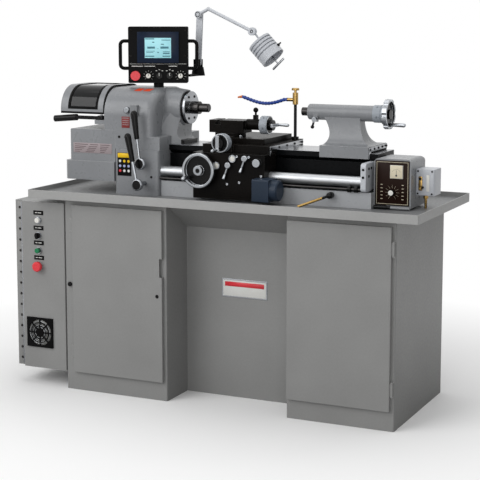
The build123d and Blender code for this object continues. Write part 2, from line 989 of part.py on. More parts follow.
with BuildPart() as headstock:
    with BuildSketch(Plane.YZ.offset(headstock_left)) as hump:
        with Locations((axis_y, (split_z + hump_top) / 2)):
            Rectangle(2 * headstock_half_width, hump_top - split_z)
        fillet(hump.vertices().group_by(Axis.Y)[-1], hump_corner)
    extrude(amount=hump_length)
    hump_rim = headstock.faces().sort_by(Axis.X)[-1].edges().sort_by(Axis.Z)[1:]
    fillet(hump_rim, hump_round)
    rod_x((headstock_left + hump_round, nose_right - nose_taper), axis_y, axis_z, barrel_radius)
    rod_between(
        (nose_right - nose_taper, axis_y, axis_z),
        (nose_right, axis_y, axis_z),
        barrel_radius,
        nose_radius,
    )
    rod_x((nose_right, ring_right), axis_y, axis_z, ring_radius)
    block((hump_right - hump_round, bed_left), (headstock_front, headstock_back), (split_z, shoulder_z))
    add(headstock_web.part)
    block(
        (stand_x - pad_half, stand_x + pad_half),
        (axis_y - pad_half, axis_y + pad_half),
        (hump_top - pad_sink, hump_top),
    )
    block(
        (headstock_left, base_left), (headstock_front, headstock_back), (split_z, cover_top), Mode.SUBTRACT
    )
    pocket_x = (headstock_left + pocket_inset, headstock_left + pocket_inset + pocket_length)
    rod_x(pocket_x, axis_y, axis_z, pocket_radius, Mode.SUBTRACT)
    block(pocket_x, (axis_y - pocket_radius, axis_y + pocket_radius), (split_z, axis_z), Mode.SUBTRACT)
    rod_x((headstock_left, ring_right), axis_y, axis_z, shaft_radius + run_clearance, Mode.SUBTRACT)
    lock_back = headstock_front + lock_radius * 4
    block(
        (lock_x + lock_boss_gap, lock_x + lock_boss_gap + lock_boss_length),
        (headstock_front - lock_boss_proud, lock_back),
        (lock_z - lock_boss_height / 2, lock_z + lock_boss_height / 2),
    )
    rod_y(lock_x, (headstock_front, lock_back), lock_z, lock_radius + run_clearance, Mode.SUBTRACT)
    block(
        (headstock_left - closer_lug_length, headstock_left),
        (headstock_front, headstock_front + closer_lug_width),
        (closer_lug_z, closer_lug_z + closer_lug_height),
    )
    rod_z(
        closer_x,
        closer_y,
        (closer_lug_z, closer_lug_z + closer_lug_height + closer_pin_height),
        closer_pin_radius,
    )
    block(
        (headstock_left - guard_gap / 2, headstock_left),
        (headstock_back - guard_knuckle_radius * 2, guard_pin_y + guard_knuckle_radius),
        (guard_bottom - guard_knuckle_radius, guard_bottom + guard_knuckle_radius),
    )
    rod_x((headstock_left - guard_pin_length, headstock_left), guard_pin_y, guard_bottom, guard_pin_radius)
save(headstock.part, "headstock")

with BuildPart() as lock_pin:
    knob_back = headstock_front - slide_clearance
    rod_y(lock_x, (knob_back, lock_back - lock_travel), lock_z, lock_radius)
    rod_y(lock_x, (knob_back - lock_knob_depth, knob_back), lock_z, lock_knob_radius)
    chamfer(lock_pin.edges().group_by(Axis.Y)[0], lock_knob_radius / 4)
save(lock_pin.part, "lock_pin")

# Two-tier end cover
with BuildPart() as end_cover:
    block(
        (base_left - end_cover_length, base_left),
        (headstock_front, headstock_back),
        (cover_bottom, cover_top),
    )
    fillet(end_cover.faces().sort_by(Axis.X)[0].edges(), end_cover_round)
    block(
        (base_left - end_cover_length - end_cover_lip, base_left),
        (headstock_front - end_cover_flare, headstock_back + end_cover_flare),
        (cover_bottom, cover_bottom + end_cover_step),
    )
    chamfer(end_cover.faces().sort_by(Axis.X)[0].edges().filter_by(Axis.Z), end_cover_round)
save(end_cover.part, "end_cover")

# Hinged guard over the draw-tube closer, with its curved window
window_left = guard_left + window_inset
window_right = window_left + window_length
window_z = guard_bottom + guard_skirt + window_bottom
window_y = (axis_y - guard_half_width - guard_wall, axis_y + window_back)


def arch(left, right, inset):
    with BuildPart() as shell:
        with BuildSketch(Plane.YZ.offset(left)) as outline:
            with Locations((axis_y, (guard_bottom + guard_top - inset) / 2)):
                Rectangle(2 * (guard_half_width - inset), guard_top - inset - guard_bottom)
            fillet(outline.vertices().group_by(Axis.Y)[-1], guard_corner - inset)
        extrude(amount=right - left)
    return shell.part


guard_outer = arch(guard_left, guard_right, 0)
guard_inner = arch(guard_left + guard_wall, guard_right, guard_wall)
pane_outer = arch(window_left, window_right, guard_wall - window_wall)
pane_inner = arch(window_left, window_right, guard_wall)
with BuildPart() as closer_guard:
    add(guard_outer)
    add(guard_inner, mode=Mode.SUBTRACT)
    block((window_left, window_right), window_y, (window_z, guard_top), Mode.SUBTRACT)
    knuckle_x = (guard_right - guard_knuckle_length, guard_right)
    block(
        knuckle_x,
        (axis_y + guard_half_width - guard_wall, guard_pin_y),
        (guard_bottom, guard_bottom + guard_knuckle_radius),
    )
    rod_x(knuckle_x, guard_pin_y, guard_bottom, guard_knuckle_radius)
    rod_x(knuckle_x, guard_pin_y, guard_bottom, guard_pin_radius + run_clearance, Mode.SUBTRACT)
save(closer_guard.part, "closer_guard")

with BuildPart() as guard_window:
    add(pane_outer)
    add(pane_inner, mode=Mode.SUBTRACT)
    block((window_left, window_right), window_y, (window_z, guard_top), Mode.INTERSECT)
save(guard_window.part, "guard_window")

# Closer lever on its pin
closer_z = closer_lug_z + closer_lug_height + slide_clearance
with BuildPart() as closer_lever:
    rod_z(closer_x, closer_y, (closer_z, closer_z + closer_hub_height), closer_hub_radius)
    arm_end = closer_x - closer_arm_length
    block(
        (arm_end, closer_x),
        (closer_y - closer_arm_width / 2, closer_y + closer_arm_width / 2),
        (closer_z, closer_z + closer_arm_thickness),
    )
    grip_z = closer_z + closer_arm_thickness / 2
    rod_between(
        (arm_end + closer_grip_radius, closer_y, grip_z),
        (arm_end - closer_grip_length, closer_y, grip_z - closer_grip_drop),
        closer_grip_radius,
    )
    rod_z(
        closer_x,
        closer_y,
        (closer_z, closer_z + closer_hub_height),
        closer_pin_radius + run_clearance,
        Mode.SUBTRACT,
    )
save(closer_lever.part, "closer_lever")

# Spindle with belt pulley, nose and draw-tube drum
drum_right = headstock_left - guard_gap * 2
with BuildPart() as spindle:
    rod_x((headstock_left + guard_gap, flange_left), axis_y, axis_z, shaft_radius)
    rod_x((drum_right - drum_inset, headstock_left + guard_gap), axis_y, axis_z, tail_shaft_radius)
    rod_x((drum_right - drum_length, drum_right), axis_y, axis_z, drum_radius)
    rod_x((pulley_mid - pulley_length / 2, pulley_mid + pulley_length / 2), axis_y, axis_z, pulley_radius)
    rod_x((flange_left, flange_right), axis_y, axis_z, flange_radius)
    rod_x((flange_right, flange_right + nose_pin_length), axis_y, axis_z, nose_pin_radius)
    nose_start = flange_right + nose_pin_length
    rod_x((nose_start, nose_start + nose_end_length), axis_y, axis_z, nose_end_radius)
    chamfer(spindle.edges().group_by(Axis.X)[-1], nose_chamfer)
save(spindle.part, "spindle")

# Main motor in the left pedestal, its pulley and the belt
motor_z = sheet + motor_height
motor_left = pulley_mid + pulley_length / 2 + motor_gap
with BuildPart() as main_motor:
    rod_x((motor_left, motor_left + motor_length), axis_y, motor_z, motor_radius)
    block(
        (motor_left + motor_gap, motor_left + motor_gap + motor_foot_length),
        (axis_y - motor_foot_width / 2, axis_y + motor_foot_width / 2),
        (sheet, motor_z - motor_radius / 2),
    )
    rod_x(
        (motor_left, motor_left + motor_shaft_depth),
        axis_y,
        motor_z,
        motor_shaft_radius + run_clearance,
        Mode.SUBTRACT,
    )
save(main_motor.part, "main_motor")

with BuildPart() as motor_pulley:
    rod_x(
        (pulley_mid - pulley_length / 2, pulley_mid + pulley_length / 2),
        axis_y,
        motor_z,
        motor_pulley_radius,
    )
    rod_x(
        (pulley_mid, motor_left + motor_shaft_depth - slide_clearance),
        axis_y,
        motor_z,
        motor_shaft_radius,
    )
save(motor_pulley.part, "motor_pulley")

with BuildPart() as drive_belt:
    with BuildSketch(Plane.YZ.offset(pulley_mid - belt_width / 2)):
        with BuildSketch(mode=Mode.PRIVATE) as belt_outer:
            with Locations((axis_y, axis_z)):
                Circle(pulley_radius + slide_clearance + belt_thickness)
            with Locations((axis_y, motor_z)):
                Circle(motor_pulley_radius + slide_clearance + belt_thickness)
            make_hull()
        with BuildSketch(mode=Mode.PRIVATE) as belt_inner:
            with Locations((axis_y, axis_z)):
                Circle(pulley_radius + slide_clearance)
            with Locations((axis_y, motor_z)):
                Circle(motor_pulley_radius + slide_clearance)
            make_hull()
        add(belt_outer.sketch)
        add(belt_inner.sketch, mode=Mode.SUBTRACT)
    extrude(amount=belt_width)
save(drive_belt.part, "drive_belt")


# Gear levers: hub on a shaft, thin arm and round grip
def gear_lever(x, z, standoff, lean, arm):
    back = gear_face - slide_clearance
    front = back - standoff - lever_hub_depth
    arm_y = front + lever_hub_depth / 2
    reach = Vector(sin(radians(lean)), 0, cos(radians(lean)))
    hub = Vector(x, arm_y, z)
    with BuildPart() as lever:
        rod_y(x, (front, back), z, lever_shaft_radius)
        rod_y(x, (front, front + lever_hub_depth), z, lever_hub_radius)
        chamfer(lever.edges().group_by(Axis.Y)[0], lever_hub_depth / 4)
        rod_y(x, (back, back + lever_shaft_depth), z, lever_shaft_radius)
        rod_between(hub, hub + reach * (arm + lever_grip_radius), lever_arm_radius)
        start = hub + reach * arm
        grip(start, start + reach * lever_grip_length, lever_grip_radius)
    return lever.part


upper_lever = gear_lever(
    upper_lever_x, upper_lever_z, upper_lever_standoff, upper_lever_angle, upper_lever_arm
)
save(upper_lever, "upper_gear_lever")
lower_lever = gear_lever(
    lower_lever_x, lower_lever_z, lower_lever_standoff, lower_lever_angle, lower_lever_arm
)
save(lower_lever, "lower_gear_lever")

# Guide tube, and the bracket that carries its right end and the stop rod
stop_z_rod = pan_floor + stop_rod_height
bracket_left = bed_right - bracket_end_gap - bracket_length
with BuildPart() as guide_tube:
    rod_x((bed_left, bracket_left), tube_y, tube_z, tube_radius)
save(guide_tube.part, "guide_tube")

with BuildPart() as rod_bracket:
    block(
        (bracket_left, bracket_left + bracket_length),
        (bracket_front, axis_y - bed_neck_half_width),
        (pan_floor + bracket_bottom, pan_floor + bracket_bottom + bracket_height),
    )
    fillet(rod_bracket.faces().sort_by(Axis.Y)[0].edges().filter_by(Axis.X), bracket_round)
    rod_x((bed_left, bracket_left), stop_rod_y, stop_z_rod, stop_rod_radius)
    for gap in stop_collar_gaps:
        rod_x(
            (bracket_left - gap, bracket_left - gap + stop_collar_length),
            stop_rod_y,
            stop_z_rod,
            stop_collar_radius,
        )
    with BuildSketch(Plane.YZ.offset(bracket_left)):
        with BuildLine():
            Polyline(
                (axis_y - bed_neck_half_width, pan_floor + bed_neck_height),
                (axis_y - bed_foot_half_width, pan_floor + bed_foot_height),
                (axis_y - bed_neck_half_width, pan_floor + bed_foot_height),
                close=True,
            )
        make_face()
    extrude(amount=bracket_length, mode=Mode.SUBTRACT)
save(rod_bracket.part, "rod_bracket")

# Brass line from the bed foot down into the pan, and the pump fitting
gland_x = bed_left + pipe_inset
gland_z = pan_floor + pipe_height
foot_face = axis_y - bed_foot_half_width
pump_pipe_x = feed_box_right + pump_pipe_inset
pump_z = pan_floor + pump_bottom
with BuildPart() as brass_lines:
    start = Vector(gland_x, foot_face - gland_length, gland_z)
    end = start + Vector(pipe_run_x, pipe_run_y, pan_floor + pipe_radius - gland_z)
    rod_y(gland_x, (foot_face - gland_length, foot_face), gland_z, gland_radius)
    rod_between(start, end, pipe_radius)
    ball(start, gland_radius)
    rod_z(pump_pipe_x, pump_pipe_y, (pump_z - pump_nut_height, pump_z), pump_nut_radius)
    rod_z(pump_pipe_x, pump_pipe_y, (pan_floor, pump_z), pipe_radius)
save(brass_lines.part, "brass_lines")

# Saddle with the cross-screw bracket
cross_x = carriage_left + cross_screw_inset
cross_screw_z = bed_top + cross_screw_rise
bracket_y = (saddle_front - cross_bracket_depth, saddle_front)
with BuildPart() as saddle:
    block((carriage_left, carriage_right), (saddle_front, saddle_back), (apron_top, saddle_z))
    block(
        (carriage_left, carriage_right),
        (axis_y - bed_half_width - guide_room, axis_y + bed_half_width + guide_room),
        (apron_top, bed_top + slide_clearance),
        Mode.SUBTRACT,
    )
    block(
        (carriage_left + cross_bracket_inset, carriage_left + cross_bracket_inset + cross_bracket_length),
        bracket_y,
        (apron_top, saddle_z + cross_bracket_rise),
    )
    rod_y(cross_x, bracket_y, cross_screw_z, dial_shaft_radius + run_clearance, Mode.SUBTRACT)
save(saddle.part, "saddle")

# Apron with guide bores, sight glasses and the feed-lever bores
wheel_x = carriage_left + wheel_inset
wheel_z = pan_floor + wheel_height
feed_levers = (
    (carriage_left + left_feed_inset, pan_floor + left_feed_height),
    (carriage_left + right_feed_inset, pan_floor + right_feed_height),
)
sights = (
    (carriage_left + left_sight_inset, pan_floor + left_sight_height),
    (carriage_left + right_sight_inset, pan_floor + right_sight_height),
)
clamp_x = carriage_left + clamp_inset
clamp_z = pan_floor + clamp_height
apron_left = carriage_left - apron_overhang
apron_right = carriage_right - apron_cut
apron_bottom = pan_floor + apron_clearance
with BuildPart() as apron:
    block((apron_left, carriage_right), (apron_front, apron_back), (apron_bottom, apron_top))
    block(
        (apron_left, carriage_right),
        (apron_step_back, apron_back),
        (apron_bottom, pan_floor + apron_step_height),
        Mode.SUBTRACT,
    )
    block(
        (apron_right, carriage_right),
        (apron_front, apron_back),
        (apron_bottom, pan_floor + apron_cut_height),
        Mode.SUBTRACT,
    )
    for x, z in sights:
        rod_y(x, (apron_front - sight_depth, apron_front), z, sight_radius)
    rod_y(clamp_x, (apron_front - clamp_depth, apron_front), clamp_z, clamp_radius)
    rod_x((apron_left, carriage_right), tube_y, tube_z, tube_radius + guide_room, Mode.SUBTRACT)
    rod_x((apron_left, carriage_right), stop_rod_y, stop_z_rod, stop_rod_radius + guide_room, Mode.SUBTRACT)
    bore = wheel_shaft_radius + run_clearance
    rod_y(wheel_x, (apron_front, apron_front + wheel_shaft_depth), wheel_z, bore, Mode.SUBTRACT)
    for x, z in feed_levers:
        bore = feed_lever_radius + run_clearance
        rod_y(x, (apron_front, apron_front + feed_lever_hub_depth), z, bore, Mode.SUBTRACT)
save(apron.part, "apron")

# Carriage handwheel: rim, dished web, hub and crank grip
with BuildPart() as carriage_wheel:
    back = apron_front - slide_clearance
    hub_front = back - wheel_hub_depth
    rim_y = (hub_front, hub_front + wheel_depth)
    rod_y(wheel_x, rim_y, wheel_z, wheel_radius)
    chamfer(carriage_wheel.edges(), wheel_rim / 4)
    rod_y(wheel_x, (rim_y[0], rim_y[1] - wheel_dish), wheel_z, wheel_radius - wheel_rim, Mode.SUBTRACT)
    rod_y(wheel_x, (hub_front, back), wheel_z, wheel_hub_radius)
    rod_y(wheel_x, (back, back + wheel_shaft_depth), wheel_z, wheel_shaft_radius)
    grip_out = wheel_radius - wheel_rim - wheel_grip_radius
    grip_x = wheel_x + grip_out * cos(radians(wheel_grip_angle))
    grip_z = wheel_z + grip_out * sin(radians(wheel_grip_angle))
    web_front = rim_y[1] - wheel_dish
    grip((grip_x, web_front, grip_z), (grip_x, web_front - wheel_grip_length, grip_z), wheel_grip_radius)
save(carriage_wheel.part, "carriage_wheel")


# Feed levers: hub, bent arm and ball
def feed_lever(x, z):
    back = apron_front - slide_clearance
    front = back - feed_lever_hub_depth
    lean = Vector(sin(radians(feed_lever_angle)), 0, cos(radians(feed_lever_angle)))
    hub = Vector(x, front + feed_lever_hub_depth / 2, z)
    with BuildPart() as lever:
        rod_y(x, (front, back), z, feed_lever_hub_radius)
        chamfer(lever.edges().group_by(Axis.Y)[0], feed_lever_radius / 2)
        rod_y(x, (back, back + feed_lever_hub_depth), z, feed_lever_radius)
        rod_between(hub, hub + lean * feed_lever_arm, feed_lever_radius)
        knob = hub + lean * (feed_lever_arm - feed_lever_tip)
        grip(knob, knob + lean * (2 * feed_lever_tip), feed_lever_tip)
    return lever.part


save(feed_lever(*feed_levers[0]), "left_feed_lever")
save(feed_lever(*feed_levers[1]), "right_feed_lever")

# Feed motor on the step of the apron
feed_motor_z = pan_floor + feed_motor_height
with BuildPart() as feed_motor:
    flange_y = (feed_motor_y - feed_motor_flange, feed_motor_y + feed_motor_flange)
    flange_z = (feed_motor_z - feed_motor_flange, feed_motor_z + feed_motor_flange)
    block((apron_right, apron_right + feed_motor_flange_depth), flange_y, flange_z)
    fillet(feed_motor.edges().filter_by(Axis.X), bend_radius)
    body_left = apron_right + feed_motor_flange_depth
    rod_x((body_left, body_left + feed_motor_length), feed_motor_y, feed_motor_z, feed_motor_radius)
    chamfer(feed_motor.edges().group_by(Axis.X)[-1], bend_radius)
save(feed_motor.part, "feed_motor")

# Cross slide
cross_left = carriage_left + cross_slide_inset
cross_y = (cross_slide_front, cross_slide_front + cross_slide_depth)
with BuildPart() as cross_slide:
    block((cross_left, cross_left + cross_slide_length), cross_y, (cross_z, cross_top))
    fillet(cross_slide.edges().filter_by(Axis.Z), bend_radius)
    rod_z(
        compound_x,
        compound_y,
        (cross_top - swivel_pin_depth, cross_top),
        swivel_pin_radius + run_clearance,
        Mode.SUBTRACT,
    )
save(cross_slide.part, "cross_slide")

# Cross crank: dial, hub, balanced bar and grip
with BuildPart() as cross_crank:
    back = bracket_y[0] - slide_clearance
    dial_front = back - dial_length
    hub_front = dial_front - dial_hub_length
    rod_y(cross_x, (dial_front, back), cross_screw_z, dial_radius)
    rod_y(cross_x, (hub_front, dial_front), cross_screw_z, dial_hub_radius)
    rod_y(cross_x, (back, bracket_y[1]), cross_screw_z, dial_shaft_radius)
    block(
        (cross_x - crank_width / 2, cross_x + crank_width / 2),
        (hub_front - crank_thickness, hub_front),
        (cross_screw_z - crank_half_length, cross_screw_z + crank_half_length),
    )
    fillet(cross_crank.edges().filter_by(Axis.Y).group_by(SortBy.LENGTH)[0], crank_width / 3)
    grip_z = cross_screw_z - crank_half_length + crank_width / 2
    bar_front = hub_front - crank_thickness
    grip((cross_x, bar_front, grip_z), (cross_x, bar_front - crank_grip_length, grip_z), crank_grip_radius)
save(cross_crank.part, "cross_crank")

# Compound rest: swivel disc, slide with a tee slot and screw bearing
with BuildPart() as compound_swivel:
    rod_z(compound_x, compound_y, (swivel_z, swivel_top), swivel_radius)
    rod_z(
        compound_x,
        compound_y,
        (cross_top - swivel_pin_depth, swivel_z),
        swivel_pin_radius,
    )
save(compound_swivel.part, "compound_swivel")

compound_left = compound_x - compound_reach
compound_right = compound_left + compound_length
compound_sides = (compound_y - compound_half_width, compound_y + compound_half_width)
screw_z = compound_z + compound_screw_height
bearing_right = compound_right + bearing_length
tee_x = compound_left + tee_inset
retract_x = compound_right + retract_inset
with BuildPart() as compound_slide:
    block((compound_left, compound_right), compound_sides, (compound_z, compound_top))
    fillet(compound_slide.edges().filter_by(Axis.Z), bend_radius)
    block(
        (tee_x - tee_width / 2, tee_x + tee_width / 2),
        compound_sides,
        (compound_top - tee_depth, compound_top),
        Mode.SUBTRACT,
    )
    block(
        (tee_x - tee_foot_width / 2, tee_x + tee_foot_width / 2),
        compound_sides,
        (compound_top - tee_depth - tee_foot_depth, compound_top - tee_depth),
        Mode.SUBTRACT,
    )
    rod_x((compound_right, bearing_right), compound_y, screw_z, bearing_radius)
    retract_y = (compound_y - retract_base / 2, compound_y + retract_base / 2)
    block(
        (retract_x - retract_base / 2, retract_x + retract_base / 2),
        retract_y,
        (screw_z, screw_z + bearing_radius + retract_base),
    )
    rod_z(retract_x, compound_y, (screw_z + bearing_radius, screw_z + retract_rise), retract_stem_radius)
    ball((retract_x, compound_y, screw_z + retract_rise), retract_ball_radius)
    rod_x(
        (bearing_right - bearing_radius, bearing_right),
        compound_y,
        screw_z,
        dial_shaft_radius + run_clearance,
        Mode.SUBTRACT,
    )
save(compound_slide.part, "compound_slide")

with BuildPart() as compound_crank:
    back = bearing_right + slide_clearance
    dial_end = back + dial_length
    hub_end = dial_end + dial_hub_length
    rod_x((back, dial_end), compound_y, screw_z, dial_radius)
    rod_x((dial_end, hub_end), compound_y, screw_z, dial_hub_radius)
    rod_x((bearing_right - bearing_radius, back), compound_y, screw_z, dial_shaft_radius)
    block(
        (hub_end, hub_end + crank_thickness),
        (compound_y - crank_half_length, compound_y + crank_half_length),
        (screw_z - crank_width / 2, screw_z + crank_width / 2),
    )
    grip_y = compound_y + crank_half_length - crank_width / 2
    bar_end = hub_end + crank_thickness
    grip((bar_end, grip_y, screw_z), (bar_end + crank_grip_length, grip_y, screw_z), crank_grip_radius)
save(compound_crank.part, "compound_crank")

# Coolant post with its valve, and the jointed hose that ends in a nozzle
post_x = carriage_left + post_inset
post_top = saddle_z + post_height
valve_top = post_top + valve_height
outlet_z = post_top + valve_rise
outlet_x = post_x - valve_radius - outlet_length
with BuildPart() as coolant_post:
    rod_z(post_x, post_y, (saddle_z, saddle_z + post_base_height), post_base_radius)
    rod_z(post_x, post_y, (saddle_z, post_top), post_radius)
    rod_z(post_x, post_y, (post_top, valve_top), valve_radius)
    rod_x((outlet_x, post_x), post_y, outlet_z, outlet_radius)
    rod_z(
        post_x,
        post_y,
        (valve_top - valve_height / 2, valve_top),
        valve_neck_radius + run_clearance,
        Mode.SUBTRACT,
    )
save(coolant_post.part, "coolant_post")

with BuildPart() as coolant_tap:
    rod_z(post_x, post_y, (valve_top - valve_height / 3, valve_top + valve_knob_height), valve_neck_radius)
    tap_z = valve_top + valve_knob_height
    rod_z(post_x, post_y, (tap_z, tap_z + valve_knob_height), valve_knob_radius)
    chamfer(coolant_tap.edges().group_by(Axis.Z)[-1], valve_knob_height / 4)
save(coolant_tap.part, "coolant_tap")

with BuildPart() as coolant_hose:
    stops = []
    for count in range(hose_beads + 1):
        share = max(count - 1, 0) / (hose_beads - 1)
        drop = hose_sag * sin(radians(360 * hose_wave_share * share))
        run = count * hose_bead_pitch
        stops.append(Vector(outlet_x - run, post_y, outlet_z - drop - hose_rise * share))
    for start, end in zip(stops, stops[1:]):
        rod_between(start, end, hose_bead_radius, hose_neck_radius)
    tip = stops[-1] - Vector(nozzle_length, 0, nozzle_tip_radius)
    rod_between(stops[-1], tip, nozzle_radius, nozzle_tip_radius)
save(coolant_hose.part, "coolant_hose")

# Tailstock: channelled foot, swept body and quill barrel
base_top = bed_top + tailstock_base_height
waist_left = tailstock_left - tailstock_waist_lead
waist_right = waist_left + tailstock_waist_length
waist_z = bed_top + tailstock_waist_height
waist_bow = tailstock_left + tailstock_waist_bow
tail_side = bed_half_width + tailstock_side
lock_bore_x = tail_barrel_left + quill_lock_inset
lock_bore_z = axis_z - quill_lock_drop
with BuildPart() as tailstock:
    with BuildSketch(Plane.XZ.offset(-axis_y)):
        with BuildLine():
            Line((tailstock_left, base_top), (tailstock_right, base_top))
            Bezier((tailstock_right, base_top), (waist_right, base_top), (waist_right, axis_z))
            Line((waist_right, axis_z), (waist_left, axis_z))
            Bezier((waist_left, axis_z), (waist_bow, waist_z), (tailstock_left, base_top))
        make_face()
    extrude(amount=tailstock_half_width, both=True)
    with BuildSketch(Plane.YZ.offset(waist_left)):
        with BuildLine():
            front = axis_y - tailstock_half_width
            back = axis_y + tailstock_half_width
            neck_front = axis_y - tailstock_neck_half_width
            neck_back = axis_y + tailstock_neck_half_width
            Line((front, base_top), (back, base_top))
            Bezier((back, base_top), (neck_back, base_top), (neck_back, axis_z))
            Line((neck_back, axis_z), (neck_front, axis_z))
            Bezier((neck_front, axis_z), (neck_front, base_top), (front, base_top))
        make_face()
    extrude(amount=tailstock_right - waist_left, mode=Mode.INTERSECT)
    block(
        (tailstock_left, tailstock_right),
        (axis_y - tail_side, axis_y + tail_side),
        (bed_top - tailstock_drop, base_top),
    )
    block(
        (tailstock_left, tailstock_right),
        (axis_y - bed_half_width - guide_room, axis_y + bed_half_width + guide_room),
        (bed_top - tailstock_drop, bed_top + slide_clearance),
        Mode.SUBTRACT,
    )
    rod_x((tail_barrel_left, tail_barrel_right), axis_y, axis_z, tail_barrel_radius)
    fillet(tailstock.edges().group_by(Axis.X)[0].sort_by(Axis.Z)[-1], tail_barrel_round)
    rod_x(
        (tail_barrel_left, tail_barrel_right - tail_cap),
        axis_y,
        axis_z,
        quill_radius + run_clearance,
        Mode.SUBTRACT,
    )
    rod_x(
        (tail_barrel_right - tail_cap, tail_barrel_right),
        axis_y,
        axis_z,
        tail_screw_radius + run_clearance,
        Mode.SUBTRACT,
    )
    block(
        (lock_bore_x - quill_lock_hub_radius, lock_bore_x + quill_lock_hub_radius),
        (axis_y - tail_barrel_radius, axis_y - quill_radius - tail_barrel_round),
        (lock_bore_z - quill_lock_hub_radius, axis_z),
    )
    rod_y(
        lock_bore_x,
        (axis_y - tail_barrel_radius, axis_y - quill_radius - tail_barrel_round),
        lock_bore_z,
        quill_lock_shaft_radius + run_clearance,
        Mode.SUBTRACT,
    )
save(tailstock.part, "tailstock")

with BuildPart() as quill:
    quill_left = tail_barrel_left - quill_show
    rod_x((quill_left, quill_left + quill_length), axis_y, axis_z, quill_radius)
    base = (Align.CENTER, Align.CENTER, Align.MIN)
    with Locations(Plane(origin=(quill_left, axis_y, axis_z), z_dir=(1, 0, 0)).location):
        Cone(
            quill_socket_radius,
            quill_socket_end_radius,
            quill_socket_depth,
            align=base,
            mode=Mode.SUBTRACT,
        )
save(quill.part, "quill")

# Tailstock handwheel: dial, lobed rim, screw and grip
with BuildPart() as tailstock_wheel:
    back = tail_barrel_right + slide_clearance
    dial_end = back + tail_dial_length
    rim_left = dial_end + tail_wheel_gap
    rim_right = rim_left + tail_wheel_length
    rod_x((rim_left, rim_right), axis_y, axis_z, tail_wheel_radius)
    rod_x((rim_left + tail_rim, rim_right), axis_y, axis_z, tail_wheel_radius - tail_rim, Mode.SUBTRACT)
    with BuildSketch(Plane.YZ.offset(rim_left)):
        with Locations((axis_y, axis_z)):
            with PolarLocations(tail_wheel_radius + tail_lobe_out, tail_lobes):
                Circle(tail_lobe_radius)
    extrude(amount=tail_wheel_length, mode=Mode.SUBTRACT)
    rod_x((dial_end, rim_right), axis_y, axis_z, wheel_hub_radius)
    rod_x((back, dial_end), axis_y, axis_z, tail_dial_radius)
    rod_x((tail_barrel_right - tail_cap, back), axis_y, axis_z, tail_screw_radius)
    grip_z = axis_z - tail_wheel_radius + tail_rim + tail_grip_radius
    web_right = rim_left + tail_rim
    grip((web_right, axis_y, grip_z), (web_right + tail_grip_length, axis_y, grip_z), tail_grip_radius)
save(tailstock_wheel.part, "tailstock_wheel")

with BuildPart() as quill_lock:
    back = axis_y - tail_barrel_radius - slide_clearance
    front = back - quill_lock_reach
    shaft_end = axis_y - quill_radius - tail_barrel_round
    rod_y(lock_bore_x, (front, back), lock_bore_z, quill_lock_hub_radius)
    rod_y(lock_bore_x, (back, shaft_end - slide_clearance), lock_bore_z, quill_lock_shaft_radius)
    hub = Vector(lock_bore_x, front + quill_lock_hub_radius / 2, lock_bore_z)
    tip = hub - Vector(quill_lock_ball_radius, 0, quill_lock_arm)
    rod_between(hub, tip, feed_lever_radius)
    ball(tip, quill_lock_ball_radius)
save(quill_lock.part, "quill_lock")

# Feed-rate box with its meter, knob and the oil pump beside it
box_z = pan_floor + feed_box_bottom
box_top = box_z + feed_box_height
knob_x = feed_box_left + feed_knob_inset
knob_z = box_z + feed_knob_rise
with BuildPart() as feed_box:
    block((feed_box_left, feed_box_right), (feed_box_front, feed_box_back), (box_z, box_top))
    fillet(feed_box.faces().sort_by(Axis.Z)[-1].edges().sort_by(Axis.Y)[1:], feed_box_round)
    meter_x = feed_box_left + meter_inset
    meter_z = box_z + meter_rise
    block(
        (meter_x, meter_x + meter_size),
        (feed_box_front - meter_depth, feed_box_front),
        (meter_z, meter_z + meter_size),
    )
    rod_y(
        knob_x,
        (feed_box_front, feed_box_front + feed_knob_shaft_depth),
        knob_z,
        feed_knob_shaft_radius + run_clearance,
        Mode.SUBTRACT,
    )
save(feed_box.part, "feed_box")

with BuildPart() as feed_knob:
    back = feed_box_front - slide_clearance
    rod_y(knob_x, (back - feed_knob_depth, back), knob_z, feed_knob_radius)
    chamfer(feed_knob.edges().group_by(Axis.Y)[0], feed_knob_depth / 8)
    rod_y(knob_x, (back, back + feed_knob_shaft_depth), knob_z, feed_knob_shaft_radius)
save(feed_knob.part, "feed_knob")

with BuildPart() as oil_pump:
    block(
        (feed_box_right, feed_box_right + pump_length),
        (pump_front, pump_front + pump_depth),
        (pump_z, pump_z + pump_height),
    )
    fillet(oil_pump.edges().filter_by(Axis.Z).sort_by(Axis.X)[-2:], pump_round)
save(oil_pump.part, "oil_pump")

# Post for the control panel
with BuildPart() as panel_post:
    rod_z(stand_x, axis_y, (hump_top, hump_top + stand_height), stand_radius)
    rod_z(stand_x, axis_y, (hump_top, panel_z + stand_pin_height), stand_pin_radius)
save(panel_post.part, "panel_post")

